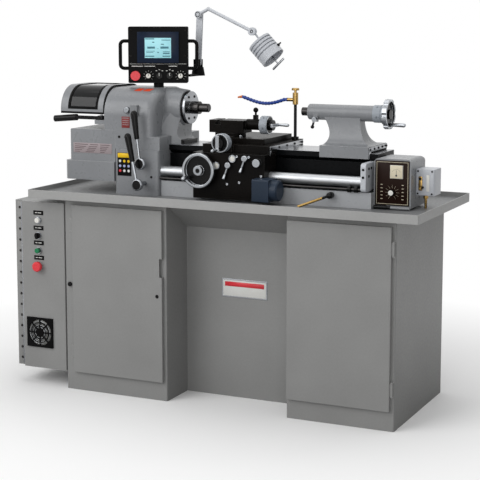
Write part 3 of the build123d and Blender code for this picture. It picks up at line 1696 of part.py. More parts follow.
# Control panel, turned on its post to face the operator, with the work lamp's foot behind it
panel_frame = Plane(
    origin=(stand_x, axis_y, panel_z + panel_height / 2),
    x_dir=(cos(radians(panel_angle)), sin(radians(panel_angle)), 0),
    z_dir=(sin(radians(panel_angle)), -cos(radians(panel_angle)), 0),
)
panel_face = panel_frame.offset(panel_depth / 2)
knob_shifts = (left_knob_shift, right_knob_shift)
switch_shifts = (left_switch_shift, right_switch_shift)
lamp_base_z = axis_z + lamp_base_bottom
lamp_fork_z = lamp_base_z + lamp_base_height
pin_z = lamp_fork_z + lamp_arm_width / 2
pin_half = lamp_fork_gap / 2 + lamp_arm_thickness / 2
with BuildPart() as panel_case:
    with BuildSketch(panel_frame.offset(-panel_depth / 2)):
        RectangleRounded(panel_width, panel_height, panel_round)
    extrude(amount=panel_depth)
    with BuildSketch(panel_face):
        with Locations((0, bezel_rise)):
            RectangleRounded(bezel_width, bezel_height, panel_round)
    extrude(amount=bezel_proud)
    rod_z(
        stand_x,
        axis_y,
        (panel_z, panel_z + stand_pin_height + slide_clearance),
        stand_pin_radius + run_clearance,
        Mode.SUBTRACT,
    )
    with BuildSketch(panel_face):
        shifts = (panel_stop_shift, *knob_shifts, *switch_shifts)
        with Locations(*[(shift, control_row) for shift in shifts]):
            Circle(panel_stem_radius + run_clearance)
    extrude(amount=-panel_stem_depth - press_travel - slide_clearance, mode=Mode.SUBTRACT)
    for side in (-1, 1):
        edge = side * (panel_width / 2 - panel_round)
        out = side * (panel_width / 2 + panel_handle_reach)
        with BuildLine(panel_frame) as bow:
            FilletPolyline(
                (edge, panel_handle_half),
                (out, panel_handle_half),
                (out, -panel_handle_half),
                (edge, -panel_handle_half),
                radius=panel_handle_bend,
            )
        with BuildSketch(Plane(origin=bow.line @ 0, z_dir=bow.line % 0)):
            Circle(panel_handle_radius)
        sweep(path=bow.line)
    block(
        (lamp_x - lamp_bar_width / 2, lamp_x + lamp_bar_width / 2),
        (lamp_y - lamp_bar_reach, lamp_y),
        (lamp_base_z, lamp_base_z + lamp_arm_thickness),
    )
    rod_between(
        (lamp_x, lamp_y, lamp_base_z),
        (lamp_x, lamp_y, lamp_fork_z),
        lamp_base_radius,
        lamp_fork_gap + lamp_arm_thickness,
    )
    for side in (-1, 1):
        cheek = lamp_y + side * (lamp_fork_gap + lamp_arm_thickness) / 2
        half = lamp_arm_thickness / 2 - slide_clearance
        block(
            (lamp_x - lamp_fork_gap, lamp_x + lamp_fork_gap),
            (cheek - half, cheek + half),
            (lamp_fork_z, lamp_fork_z + lamp_arm_width),
        )
    rod_y(lamp_x, (lamp_y - pin_half, lamp_y + pin_half), pin_z, lamp_pin_radius)
save(panel_case.part, "panel_case")


def panel_control(shift, radius, depth, stand, bar):
    stem = panel_face.offset(-panel_stem_depth)
    with BuildPart() as control:
        with BuildSketch(stem):
            with Locations((shift, control_row)):
                Circle(panel_stem_radius)
        extrude(amount=panel_stem_depth + stand)
        with BuildSketch(panel_face.offset(stand)):
            with Locations((shift, control_row)):
                Circle(radius)
        extrude(amount=depth)
        if bar:
            with BuildSketch(panel_face.offset(stand + depth)):
                with Locations((shift, control_row)):
                    Rectangle(selector_bar, 2 * selector_radius)
            extrude(amount=cap_depth)
    return control.part


save(
    panel_control(panel_stop_shift, panel_stop_radius, mushroom_depth, press_travel, False),
    "panel_stop_button",
)
panel_dials = ("left_panel_knob", "right_panel_knob")
for name, shift in zip(panel_dials, knob_shifts):
    save(panel_control(shift, panel_knob_radius, panel_knob_depth, slide_clearance, False), name)
panel_switches = ("left_panel_switch", "right_panel_switch")
for name, shift in zip(panel_switches, switch_shifts):
    save(panel_control(shift, selector_radius, cap_depth, slide_clearance, True), name)

# Work lamp: flat lower arm, bent tube and finned head
elbow = Vector(lamp_x + lamp_lower_lean, lamp_y, pin_z + lamp_lower_rise)
with BuildPart() as lamp_lower_arm:
    arm_run = elbow - Vector(lamp_x, lamp_y, pin_z)
    arm_plane = Plane(origin=(lamp_x, lamp_y, pin_z), x_dir=arm_run, z_dir=(0, -1, 0))
    with BuildSketch(arm_plane.offset(-lamp_arm_thickness / 2)):
        with Locations((arm_run.length / 2, 0)):
            SlotCenterToCenter(arm_run.length, lamp_arm_width - bend_radius)
    extrude(amount=lamp_arm_thickness)
    rod_y(
        lamp_x,
        (lamp_y - lamp_arm_thickness, lamp_y + lamp_arm_thickness),
        pin_z,
        lamp_pin_radius + run_clearance,
        Mode.SUBTRACT,
    )
    knob_front = lamp_y - lamp_arm_thickness / 2 - lamp_knob_depth - slide_clearance
    rod_y(elbow.X, (knob_front, lamp_y), elbow.Z, lamp_pin_radius)
save(lamp_lower_arm.part, "lamp_lower_arm")

eye_y = (knob_front, knob_front + lamp_knob_depth)
eye_mid = (eye_y[0] + eye_y[1]) / 2
wrist = Vector(elbow.X + lamp_upper_x, eye_mid, elbow.Z + lamp_upper_z)
with BuildPart() as lamp_upper_arm:
    rod_y(elbow.X, eye_y, elbow.Z, lamp_knob_radius)
    bend = Vector(elbow.X + lamp_bend_x, eye_mid, elbow.Z + lamp_bend_z)
    rod_between((elbow.X, eye_mid, elbow.Z), bend, lamp_tube_radius)
    ball(bend, lamp_elbow_radius)
    rod_between(bend, wrist, lamp_tube_radius)
    rod_y(wrist.X, eye_y, wrist.Z, lamp_eye_radius)
    rod_y(elbow.X, eye_y, elbow.Z, lamp_pin_radius + run_clearance, Mode.SUBTRACT)
    rod_y(wrist.X, eye_y, wrist.Z, lamp_pin_radius + run_clearance, Mode.SUBTRACT)
save(lamp_upper_arm.part, "lamp_upper_arm")

head_back = wrist + Vector(lamp_head_x, 0, lamp_head_z)
aim = Vector(cos(radians(lamp_head_angle)), 0, -sin(radians(lamp_head_angle)))
head_front = head_back + aim * lamp_head_length
with BuildPart() as lamp_head:
    rod_between(head_back, head_front, lamp_fin_radius)
    for count in range(lamp_fins):
        fin = head_back + aim * (count * lamp_fin_pitch)
        rod_between(fin, fin + aim * (lamp_fin_pitch - lamp_fin_gap), lamp_head_radius)
    rim = head_back + aim * (lamp_fins * lamp_fin_pitch)
    rod_between(rim, head_front, lamp_head_radius)
    bowl = Plane(origin=head_front, z_dir=aim * -1)
    with Locations(bowl.location):
        Cylinder(
            lamp_head_radius - lamp_wall,
            lamp_bowl_depth,
            align=(Align.CENTER, Align.CENTER, Align.MIN),
            mode=Mode.SUBTRACT,
        )
    cheek_back = eye_y[1] + slide_clearance
    cheek_y = (cheek_back, cheek_back + lamp_arm_thickness)
    rod_y(wrist.X, (eye_y[0], cheek_y[1]), wrist.Z, lamp_pin_radius)
    rod_y(wrist.X, cheek_y, wrist.Z, lamp_neck_radius)
    cheek_mid = (cheek_y[0] + cheek_y[1]) / 2
    seat = head_back + aim * lamp_fin_pitch
    rod_between((wrist.X, cheek_mid, wrist.Z), (seat.X, cheek_mid, seat.Z), lamp_arm_thickness / 2)
save(lamp_head.part, "lamp_head")
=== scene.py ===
from math import cos, pi, radians, sin

import bmesh
import bpy
from mathutils import Matrix, Vector
from mathutils.bvhtree import BVHTree


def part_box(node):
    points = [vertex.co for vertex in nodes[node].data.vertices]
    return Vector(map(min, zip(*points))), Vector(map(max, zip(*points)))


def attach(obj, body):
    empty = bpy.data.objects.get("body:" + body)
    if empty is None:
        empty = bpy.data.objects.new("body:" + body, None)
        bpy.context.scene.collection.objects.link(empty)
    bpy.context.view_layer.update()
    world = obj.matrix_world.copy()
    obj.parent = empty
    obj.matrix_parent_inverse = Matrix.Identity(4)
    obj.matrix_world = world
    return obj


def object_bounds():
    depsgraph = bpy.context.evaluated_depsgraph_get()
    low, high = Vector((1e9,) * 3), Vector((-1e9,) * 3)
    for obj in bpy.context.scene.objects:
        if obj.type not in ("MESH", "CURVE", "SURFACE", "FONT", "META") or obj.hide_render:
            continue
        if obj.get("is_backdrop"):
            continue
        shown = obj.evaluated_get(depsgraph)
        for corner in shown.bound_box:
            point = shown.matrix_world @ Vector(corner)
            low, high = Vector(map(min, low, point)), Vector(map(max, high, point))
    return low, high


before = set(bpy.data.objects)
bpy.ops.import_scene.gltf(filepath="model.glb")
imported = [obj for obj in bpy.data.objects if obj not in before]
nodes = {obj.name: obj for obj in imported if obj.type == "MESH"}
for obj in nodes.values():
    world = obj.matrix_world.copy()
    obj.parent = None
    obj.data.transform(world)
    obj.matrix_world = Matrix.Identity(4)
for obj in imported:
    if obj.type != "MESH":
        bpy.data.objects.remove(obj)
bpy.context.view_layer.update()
scene = bpy.context.scene
mm = 0.001
ink = 0.5  # how far printed marks stand out, in mm
toFront, toRight, upward = (0, -1, 0), (1, 0, 0), (0, 0, 1)
print("frame loaded:", len(nodes), "nodes")

# camera: level shot in the photograph, here tipped down a little so that most of its shift goes away
shot = {"place": (2.291, -4.836, 1.518), "yaw": 25.10, "pitch": 7.71, "lens": 103.63, "sensor": 36,
        "shift": -0.10}
camera = bpy.data.objects.new("shopCamera", bpy.data.cameras.new("shopCamera"))
camera.data.lens = shot["lens"]
camera.data.sensor_width = shot["sensor"]
camera.data.shift_y = shot["shift"]
camera.location = shot["place"]
camera.rotation_euler = (radians(90 - shot["pitch"]), 0, radians(shot["yaw"]))
scene.collection.objects.link(camera)
scene.camera = camera
scene.view_settings.view_transform = "Standard"


def hexColour(code):
    parts = [int(code[i:i + 2], 16) / 255 for i in (1, 3, 5)]
    return tuple(p / 12.92 if p <= 0.04045 else ((p + 0.055) / 1.055) ** 2.4 for p in parts) + (1.0,)


# a value that is a socket is linked, any other is set on the node or its input
def setNode(tree, node, settings):
    for key, value in settings.items():
        if isinstance(value, bpy.types.NodeSocket):
            tree.links.new(value, node.inputs[key])
        elif isinstance(key, str) and hasattr(node, key):
            setattr(node, key, value)
        else:
            node.inputs[key].default_value = value


def addNode(tree, kind, settings=None):
    node = tree.nodes.new(kind)
    setNode(tree, node, settings or {})
    return node


# finishes: colour and its drift, metal, roughness and its swing, specular level, grain in mm, bump and the
# colour of an edge, worn paint and a painted highlight in one; what a finish leaves out is plain
plain = {"metal": 0.0, "spec": 0.3, "swing": 0.08, "bump": 0.02, "stretch": (1, 1, 1)}
finishes = {
    # sprayed enamel on sheet steel: soft sheen and a tone that drifts over a panel; its pale edge colour is
    # wear and a painted highlight on the door and cabinet edges (real orange peel is 2 mm; drawn at 9 mm so
    # that it shows)
    "sheetEnamel": {"colour": "#8d8d8c", "drift": "#868685", "rough": 0.42, "swing": 0.10, "grain": 9,
                    "bump": 0.03, "edge": "#c2c2c1"},
    # brushed enamel over filled cast iron: glossier, with soft waves from the filler
    "castEnamel": {"colour": "#838588", "drift": "#797b7e", "rough": 0.30, "spec": 0.40,
                   "grain": 18, "bump": 0.03, "edge": "#b9bbbd"},
    # same enamel on the pan's folded lip, painted paler than on the cabinets: painted light on the lip's
    # front
    "lipEnamelPaintedLight": {"colour": "#a1a1a0", "drift": "#989897", "rough": 0.40, "swing": 0.10, "grain": 9,
                  "bump": 0.03, "edge": "#cbcbca"},
    # enamel on the foot of the bed, as glossy as the castings: painted paler than them, as painted light
    # where the tube and the motor shade it
    "footEnamelPaintedLight": {"colour": "#a6a8ab", "drift": "#9b9da0", "rough": 0.30, "spec": 0.40,
                   "grain": 18, "bump": 0.03},
    # darker enamel in the pan, rubbed by chips
    "panEnamel": {"colour": "#7a7b7c", "drift": "#707172", "rough": 0.45, "swing": 0.14, "grain": 11,
                  "bump": 0.04, "edge": "#a2a3a4"},
    # black enamel on the bed casting: smooth and deep
    "bedEnamel": {"colour": "#08090a", "drift": "#0e0f11", "rough": 0.30, "swing": 0.10, "spec": 0.06,
                  "grain": 12, "bump": 0.03, "edge": "#2c2e31"},
    # oil-blackened iron of the slides: almost black, satin, its edges paler as rubbed metal and as a painted
    # highlight
    "oilBlack": {"colour": "#0a0a0a", "drift": "#171412", "rough": 0.30, "swing": 0.12, "spec": 0.04,
                 "grain": 5, "bump": 0.04, "edge": "#5a5856"},
    # ground steel: straight grinding lines (0.3 mm, drawn at 1.2 mm), sharp reflections
    "groundSteel": {"colour": "#a0a2a5", "drift": "#84868a", "metal": 1.0, "spec": 0.1, "rough": 0.22,
                    "swing": 0.10, "grain": 1.2, "stretch": (18, 1, 1), "bump": 0.03},
    # drawn tube: paler and duller than ground steel, with one broad soft highlight
    "drawnSteel": {"colour": "#b4b6b8", "drift": "#a3a5a8", "metal": 1.0, "spec": 0.1, "rough": 0.44,
                   "grain": 2, "stretch": (18, 1, 1), "bump": 0.03},
    # hardened spindle steel: dark, with bright streaks of light
    "hardSteel": {"colour": "#413f3e", "drift": "#302f2f", "metal": 1.0, "spec": 0.1, "rough": 0.20,
                  "grain": 1.2, "stretch": (1, 18, 18), "bump": 0.03},
    # satin chrome on dials and wheels: pale, with soft highlights, and a near-white painted highlight on its
    # edges
    "satinChrome": {"colour": "#a2a5a9", "drift": "#8e9195", "metal": 1.0, "spec": 0.1, "rough": 0.24,
                    "grain": 3, "edge": "#e4e4e4"},
    # anodised dial sleeve: dull blue-grey, so that the marks read
    "dialSatin": {"colour": "#9ba1a8", "drift": "#8d939a", "rough": 0.36, "grain": 3},
    # phenolic grips: deep black and glossy
    "phenolic": {"colour": "#080808", "drift": "#0e0e0f", "rough": 0.24, "swing": 0.10, "spec": 0.14,
                 "grain": 6},
    # fine-textured black powder coat on the panel and its post
    "powderBlack": {"colour": "#090909", "drift": "#0f0f10", "rough": 0.46, "swing": 0.10, "spec": 0.05,
                    "grain": 2.5, "bump": 0.06},
    # glossy moulded plastics of the controls
    "signalRed": {"colour": "#e0424a", "drift": "#d5363f", "rough": 0.28, "grain": 5},
    "startGreen": {"colour": "#0f7a4c", "drift": "#0b6a40", "rough": 0.24, "grain": 5},
    "ivoryPlastic": {"colour": "#e4e3de", "drift": "#d7d5cd", "rough": 0.30, "swing": 0.10, "grain": 6},
    # flat screen-print inks and vinyl on the charts: even colour, low sheen
    "safetyYellow": {"colour": "#ecc01c", "drift": "#dfb411", "rough": 0.34, "grain": 6},
    "decalOrange": {"colour": "#dd4b27", "drift": "#cf411e", "rough": 0.34, "grain": 7},
    # engraved laminate: matt black sheet
    "laminate": {"colour": "#0b0b0b", "drift": "#121213", "rough": 0.55, "spec": 0.06,
                 "grain": 3, "bump": 0.03},
    # brass: warm metal, slightly dulled
    "brass": {"colour": "#a98c56", "drift": "#8d7140", "metal": 1.0, "spec": 0.1, "rough": 0.26,
              "swing": 0.14, "grain": 5, "bump": 0.03, "edge": "#dcbb73"},
    # acetal coolant line, blue with an orange nozzle: strong colour, waxy sheen
    "acetalBlue": {"colour": "#24479a", "drift": "#1d3b88", "rough": 0.34, "grain": 4},
    "acetalOrange": {"colour": "#e07a30", "drift": "#d46d26", "rough": 0.34, "grain": 4},
    # blue-black motor enamel: dull gloss, its edges paler as wear and as a painted highlight
    "motorEnamel": {"colour": "#2a3544", "drift": "#232d3a", "rough": 0.34, "swing": 0.10, "spec": 0.15,
                    "grain": 8, "bump": 0.05, "edge": "#5b6b82"},
    # moulded rubber of belt, wipers and seals: black without shine
    "rubber": {"colour": "#0e0e0e", "drift": "#161615", "rough": 0.70, "swing": 0.10, "spec": 0.06,
               "grain": 3, "bump": 0.08},
    # brown anodised face plate with a silky sheen
    "brownAnodised": {"colour": "#20110b", "drift": "#190d08", "rough": 0.34, "spec": 0.08,
                      "grain": 1.5, "stretch": (12, 1, 1)},
    # painted alloy of the lamp and the pump: pale, softly shiny
    "paleAlloy": {"colour": "#c3c6cb", "drift": "#b6b9bf", "rough": 0.34, "grain": 6},
    # printed marks on plates and dials: dry ink without shine
    "creamPaint": {"colour": "#d8cfb8", "drift": "#ccc2a8", "rough": 0.40, "grain": 6},
    "whitePrint": {"colour": "#dededb", "drift": "#d2d2ce", "rough": 0.50, "grain": 4},
    "darkPrint": {"colour": "#1b2730", "drift": "#24313b", "rough": 0.50, "grain": 4},
    # dark-blue gloss of the screen surround
    "bezelGloss": {"colour": "#101a28", "drift": "#16233a", "rough": 0.18, "swing": 0.06, "spec": 0.10,
                   "grain": 20, "bump": 0.01},
    # foil labels on the castings: faded field and its ink
    "labelRed": {"colour": "#852c2a", "drift": "#752423", "rough": 0.40, "swing": 0.10, "grain": 6},
    "labelPale": {"colour": "#9d9294", "drift": "#938789", "rough": 0.40, "swing": 0.10, "grain": 8},
    "labelInk": {"colour": "#5f5154", "drift": "#6b5c5f", "rough": 0.45, "grain": 4},
    "labelBlue": {"colour": "#a9b2d6", "drift": "#9ba5cb", "rough": 0.45, "grain": 4},
    # lines of the lit screen: soft teal, as a display draws them
    "screenInk": {"colour": "#3d7280", "drift": "#4a808d", "rough": 0.45, "grain": 4},
    # felt pad of the fan: coarse and dull
    "filterPad": {"colour": "#8c8c88", "drift": "#5d5d5a", "rough": 0.85, "swing": 0.10, "spec": 0.10,
                  "grain": 2.5, "bump": 0.25},
    # frosted cover glass of the lamp: pale and milky
    "frostedGlass": {"colour": "#e2e5e8", "drift": "#d4d8dc", "rough": 0.22, "swing": 0.06, "grain": 6,
                     "bump": 0.03},
}
finishes = {name: plain | recipe for name, recipe in finishes.items()}


# mask of a zone: limits in mm along x, y, z, or a radius band about an axis
def zoneMask(tree, position, zone):
    split = addNode(tree, "ShaderNodeSeparateXYZ", {0: position})
    tests = [(split.outputs["xyz".index(axis)], zone[axis]) for axis in "xyz" if axis in zone]
    if "band" in zone:
        away = addNode(tree, "ShaderNodeVectorMath", {
            "operation": "SUBTRACT", 0: position, 1: [c * mm for c in zone["about"]]}).outputs[0]
        flat = addNode(tree, "ShaderNodeVectorMath", {
            "operation": "MULTIPLY", 0: away, 1: zone["across"]}).outputs[0]
        reach = addNode(tree, "ShaderNodeVectorMath", {"operation": "LENGTH", 0: flat})
        tests.append((reach.outputs["Value"], zone["band"]))
    mask = None
    for value, (low, high) in tests:
        for operation, limit in (("GREATER_THAN", low), ("LESS_THAN", high)):
            step = addNode(tree, "ShaderNodeMath", {
                "operation": operation, 0: value, 1: limit * mm}).outputs[0]
            if mask is not None:
                step = addNode(tree, "ShaderNodeMath", {"operation": "MULTIPLY", 0: mask, 1: step}).outputs[0]
            mask = step
    return mask


# colour, metal, roughness and specular level of one finish, from two noises in Object coordinates
noises = {"cloud": 200, "fine": 1.5, "coarse": 2.0, "grainShare": 0.35, "drift": (0.45, 0.90),
          "swing": (0.3, 0.7)}


def finishChannels(tree, position, recipe):
    scaled = addNode(tree, "ShaderNodeMapping", {
        "Vector": position, "Scale": [1 / s for s in recipe["stretch"]]}).outputs[0]
    grain = addNode(tree, "ShaderNodeTexNoise", {
        "Vector": scaled, "Scale": 1 / (recipe["grain"] * mm), "Detail": noises["fine"]}).outputs[0]
    cloud = addNode(tree, "ShaderNodeTexNoise", {
        "Vector": position, "Scale": 1 / (noises["cloud"] * mm), "Detail": noises["coarse"]}).outputs[0]
    both = addNode(tree, "ShaderNodeMath", {
        "operation": "MULTIPLY_ADD", 0: grain, 1: noises["grainShare"], 2: cloud}).outputs[0]
    share = addNode(tree, "ShaderNodeMapRange", {
        "Value": both, "From Min": noises["drift"][0], "From Max": noises["drift"][1]}).outputs[0]
    colour = addNode(tree, "ShaderNodeMix", {
        "data_type": "RGBA", 0: share, 6: hexColour(recipe["colour"]),
        7: hexColour(recipe["drift"])}).outputs[2]
    half = recipe["swing"] / 2
    rough = addNode(tree, "ShaderNodeMapRange", {
        "Value": grain, "From Min": noises["swing"][0], "From Max": noises["swing"][1],
        "To Min": recipe["rough"] - half, "To Max": recipe["rough"] + half}).outputs[0]
    return {"colour": colour, "rough": rough, "height": grain,
            "metal": recipe["metal"], "spec": recipe["spec"]}


def newMaterial(name):
    material = bpy.data.materials.new(name)
    material.use_nodes = True
    return material, material.node_tree


# one material: a base finish, other finishes in zones, softened edges paled as wear and as a painted
# highlight
edges = {"radius": 1.6, "samples": 8, "wearAndHighlight": 0.7, "flat": 0.97, "sharp": 0.78, "bumpDepth": 0.4}


def makeMaterial(name, base, zones=()):
    material, tree = newMaterial(name)
    recipe = finishes[base]
    position = addNode(tree, "ShaderNodeTexCoord").outputs["Object"]
    made = finishChannels(tree, position, recipe)
    rounded = addNode(tree, "ShaderNodeBevel", {
        "samples": edges["samples"], "Radius": edges["radius"] * mm}).outputs[0]
    # edges are mixed towards the edge colour all round, whatever the light: part wear, part painted highlight
    if "edge" in recipe:
        facing = addNode(tree, "ShaderNodeNewGeometry").outputs["Normal"]
        bent = addNode(tree, "ShaderNodeVectorMath", {"operation": "DOT_PRODUCT", 0: facing, 1: rounded})
        wearAndHighlight = addNode(tree, "ShaderNodeMapRange", {
            "Value": bent.outputs["Value"], "From Min": edges["flat"], "From Max": edges["sharp"],
            "To Max": edges["wearAndHighlight"]}).outputs[0]
        made["colour"] = addNode(tree, "ShaderNodeMix", {
            "data_type": "RGBA", 0: wearAndHighlight, 6: made["colour"], 7: hexColour(recipe["edge"])}).outputs[2]
    for zone in zones:
        mask = zoneMask(tree, position, zone)
        other = finishChannels(tree, position, finishes[zone["finish"]])
        made["colour"] = addNode(tree, "ShaderNodeMix", {
            "data_type": "RGBA", 0: mask, 6: made["colour"], 7: other["colour"]}).outputs[2]
        for key in ("rough", "metal", "spec"):
            made[key] = addNode(tree, "ShaderNodeMix", {
                "data_type": "FLOAT", 0: mask, 2: made[key], 3: other[key]}).outputs[0]
    bump = addNode(tree, "ShaderNodeBump", {
        "Strength": recipe["bump"], "Distance": edges["bumpDepth"] * mm, "Height": made["height"],
        "Normal": rounded}).outputs[0]
    setNode(tree, tree.nodes["Principled BSDF"], {
        "Base Color": made["colour"], "Roughness": made["rough"], "Metallic": made["metal"],
        "Specular IOR Level": made["spec"], "Normal": bump})
    return material


madeFinishes = {}


def finishOf(base):
    if base not in madeFinishes:
        madeFinishes[base] = makeMaterial(base, base)
    return madeFinishes[base]


def coatNode(name, material):
    nodes[name].data.materials.clear()
    nodes[name].data.materials.append(material)


# which finish each CAD node carries
nodeFinishes = {
    "sheetEnamel": ["left_pedestal", "right_pedestal", "left_door", "right_door", "main_motor"],
    "castEnamel": ["headstock_base", "end_cover", "tailstock"],
    "oilBlack": ["saddle", "cross_slide", "compound_swivel", "compound_slide"],
    "groundSteel": ["motor_pulley"],
    "drawnSteel": ["guide_tube"],
    "hardSteel": ["quill"],
    "satinChrome": ["lock_pin", "left_feed_lever", "right_feed_lever"],
    "phenolic": ["closer_lever", "door_selector", "left_panel_switch", "right_panel_switch",
                 "left_panel_knob", "right_panel_knob", "feed_knob"],
    "powderBlack": ["panel_case", "panel_post", "fan_grille"],
    "signalRed": ["door_stop_button", "panel_stop_button"],
    "startGreen": ["start_button"],
    "motorEnamel": ["feed_motor"],
    "brass": ["coolant_tap"],
    "rubber": ["drive_belt"],
    "paleAlloy": ["oil_pump", "lamp_lower_arm", "lamp_head"],
}
for base, names in nodeFinishes.items():
    for name in names:
        coatNode(name, finishOf(base))

# nodes with more than one finish, split by place in mm; across names the plane of a round band
alongX, alongY = (0, 1, 1), (1, 0, 1)
wheelAxis, crossAxis, compoundAxis, tailAxis = (-49, 0, 898), (34, 0, 1004), (0, -20, 1062.9), (0, 20, 1117)
upperPivot, lowerPivot = (-314, 0, 908), (-310, 0, 830)
pianoHinge = {"finish": "groundSteel", "about": (-818, -254, 0), "across": (1, 1, 0), "band": (-1, 5.3)}
zonedNodes = {
    "electrical_box": ("sheetEnamel", [pianoHinge]),
    # pan lip in a paler copy of the cabinet enamel, as painted light
    "chip_pan": ("lipEnamelPaintedLight", [
        {"finish": "panEnamel", "x": (-742, 850), "y": (-316, 316), "z": (780, 799.5)}]),
    "carriage_wheel": ("satinChrome", [
        {"finish": "phenolic", "about": wheelAxis, "across": alongY, "band": (19, 55.5), "y": (-219.8, 0)},
        {"finish": "phenolic", "about": wheelAxis, "across": alongY, "band": (-1, 9)}]),
    "cross_crank": ("satinChrome", [
        {"finish": "phenolic", "about": crossAxis, "across": alongY, "band": (-1, 31), "y": (-213.5, -196.9)},
        {"finish": "dialSatin", "about": crossAxis, "across": alongY, "band": (33, 36), "y": (-197, -150)}]),
    "compound_crank": ("satinChrome", [
        {"finish": "phenolic", "about": compoundAxis, "across": alongX, "band": (-1, 31),
         "x": (160.9, 177.5)},
        {"finish": "dialSatin", "about": compoundAxis, "across": alongX, "band": (33, 36), "x": (125, 161)}]),
    "tailstock_wheel": ("satinChrome", [
        {"finish": "phenolic", "about": tailAxis, "across": alongX, "band": (-1, 46.8), "x": (608.2, 632.4)},
        {"finish": "dialSatin", "about": tailAxis, "across": alongX, "band": (31, 34), "x": (568, 608)}]),
    "upper_gear_lever": ("satinChrome", [
        {"finish": "phenolic", "about": upperPivot, "across": alongY, "band": (-1, 18), "y": (-300, -190)},
        {"finish": "phenolic", "about": upperPivot, "across": alongY, "band": (96, 400)}]),
    "lower_gear_lever": ("satinChrome", [
        {"finish": "phenolic", "about": lowerPivot, "across": alongY, "band": (-1, 18), "y": (-300, -220)},
        {"finish": "phenolic", "about": lowerPivot, "across": alongY, "band": (91, 400)}]),
    "quill_lock": ("phenolic", [{"finish": "satinChrome", "z": (1080, 1110)}]),
    "bed": ("bedEnamel", [
        # foot of the bed in the paler enamel that stands in for light under the tube and motor
        {"finish": "footEnamelPaintedLight", "z": (700, 842.5)},
        {"finish": "groundSteel", "z": (976.6, 980)}]),
    "apron": ("oilBlack", [
        {"finish": "satinChrome", "about": (186, 0, 936), "across": alongY, "band": (-1, 15.5),
         "y": (-300, -185.3)}]),
    "headstock": ("castEnamel", [{"finish": "phenolic", "x": (-211.8, -190)}]),
    "spindle": ("groundSteel", [{"finish": "hardSteel", "x": (-193.5, -100)}]),
    "rod_bracket": ("paleAlloy", [
        {"finish": "hardSteel", "x": (-300, 583.5)},
        {"finish": "phenolic", "about": (0, -150, 853), "across": alongX, "band": (6, 13),
         "x": (520, 583.5)}]),
    "brass_lines": ("brass", [{"finish": "phenolic", "x": (440, 480), "z": (808, 840)}]),
    "coolant_hose": ("acetalBlue", [{"finish": "acetalOrange", "x": (-80, -28.5)}]),
    "coolant_post": ("phenolic", [{"finish": "brass", "z": (1132.5, 1220)}]),
    "electrical_door": ("sheetEnamel", [
        pianoHinge,
        {"finish": "satinChrome", "y": (-280, -265.6), "x": (-752, -715)},
        {"finish": "ivoryPlastic", "about": (-733.7, 0, 672), "across": alongY, "band": (-1, 10.2),
         "y": (-300, -271.4)}]),
    "closer_guard": ("castEnamel", [
        {"finish": "rubber", "x": (-668, -530), "z": (1108, 1230), "y": (-170, 91)},
        {"finish": "rubber", "z": (1080, 1098)},
        {"finish": "rubber", "x": (-506, -490)}]),
    "knee_panel": ("sheetEnamel", [{"finish": "satinChrome", "y": (-95, -92.2), "z": (390, 480)}]),
    "feed_box": ("castEnamel", [{"finish": "ivoryPlastic", "y": (-125, -113.3)}]),
    "lamp_upper_arm": ("paleAlloy", [
        {"finish": "phenolic", "about": (-2, 0, 1414), "across": alongY, "band": (-1, 7), "y": (100, 168)},
        {"finish": "phenolic", "about": (-240, 0, 1480), "across": alongY, "band": (8, 11),
         "y": (100, 168)}]),
}
for name, (base, zones) in zonedNodes.items():
    coatNode(name, makeMaterial(name + "Finish", base, zones))

# smoked acrylic of the guard window: dark, clear and very smooth
pane = {"colour": "#0b0d0f", "ior": 1.49, "spec": 0.06, "clear": 0.5, "rough": (0.04, 0.10), "grain": 30}
smoked, paneTree = newMaterial("smokedAcrylic")
panePlace = addNode(paneTree, "ShaderNodeTexCoord").outputs["Object"]
paneNoise = addNode(paneTree, "ShaderNodeTexNoise", {
    "Vector": panePlace, "Scale": 1 / (pane["grain"] * mm)}).outputs[0]
paneRough = addNode(paneTree, "ShaderNodeMapRange", {
    "Value": paneNoise, "To Min": pane["rough"][0], "To Max": pane["rough"][1]}).outputs[0]
setNode(paneTree, paneTree.nodes["Principled BSDF"], {
    "Base Color": hexColour(pane["colour"]), "IOR": pane["ior"], "Specular IOR Level": pane["spec"],
    "Transmission Weight": pane["clear"], "Roughness": paneRough})
coatNode("guard_window", smoked)
print("finishes on", len(nodes), "nodes")


# shapes are drawn in one working mesh; finishPiece makes a piece of it and empties it
bm = bmesh.new()


def addBlock(low, high, bevel=0.0):
    low, high = Vector(low) * mm, Vector(high) * mm
    verts = bmesh.ops.create_cube(bm, size=1.0)["verts"]
    bmesh.ops.scale(bm, vec=high - low, verts=verts)
    bmesh.ops.translate(bm, vec=(low + high) / 2, verts=verts)
    if bevel:
        rims = list({edge for vert in verts for edge in vert.link_edges})
        bmesh.ops.bevel(bm, geom=rims, offset=bevel * mm, segments=2, profile=0.5, affect="EDGES")


# plate on a face that looks to the operator: x and z limits, place of the face, thickness
def addPlate(x, z, face, thick, bevel=0.0):
    addBlock((x[0], face - thick, z[0]), (x[1], face, z[1]), bevel)


# spins a (radius, along) profile in mm about an axis through place
def addTurned(profile, place, axis, steps=24):
    before = set(bm.verts)
    verts = [bm.verts.new((radius * mm, 0, along * mm)) for radius, along in profile]
    line = [bm.edges.new(pair) for pair in zip(verts, verts[1:])]
    bmesh.ops.spin(bm, geom=verts + line, cent=(0, 0, 0), axis=upward, dvec=(0, 0, 0), angle=2 * pi,
                   steps=steps, use_merge=True)
    made = [vert for vert in bm.verts if vert not in before]
    turn = Vector(upward).rotation_difference(Vector(axis)).to_matrix().to_4x4()
    bmesh.ops.transform(bm, matrix=Matrix.Translation(Vector(place) * mm) @ turn, verts=made)


def addDisc(radius, thick, place, axis, steps=24):
    addTurned([(0, 0), (radius, 0), (radius, thick), (0, thick)], place, axis, steps)


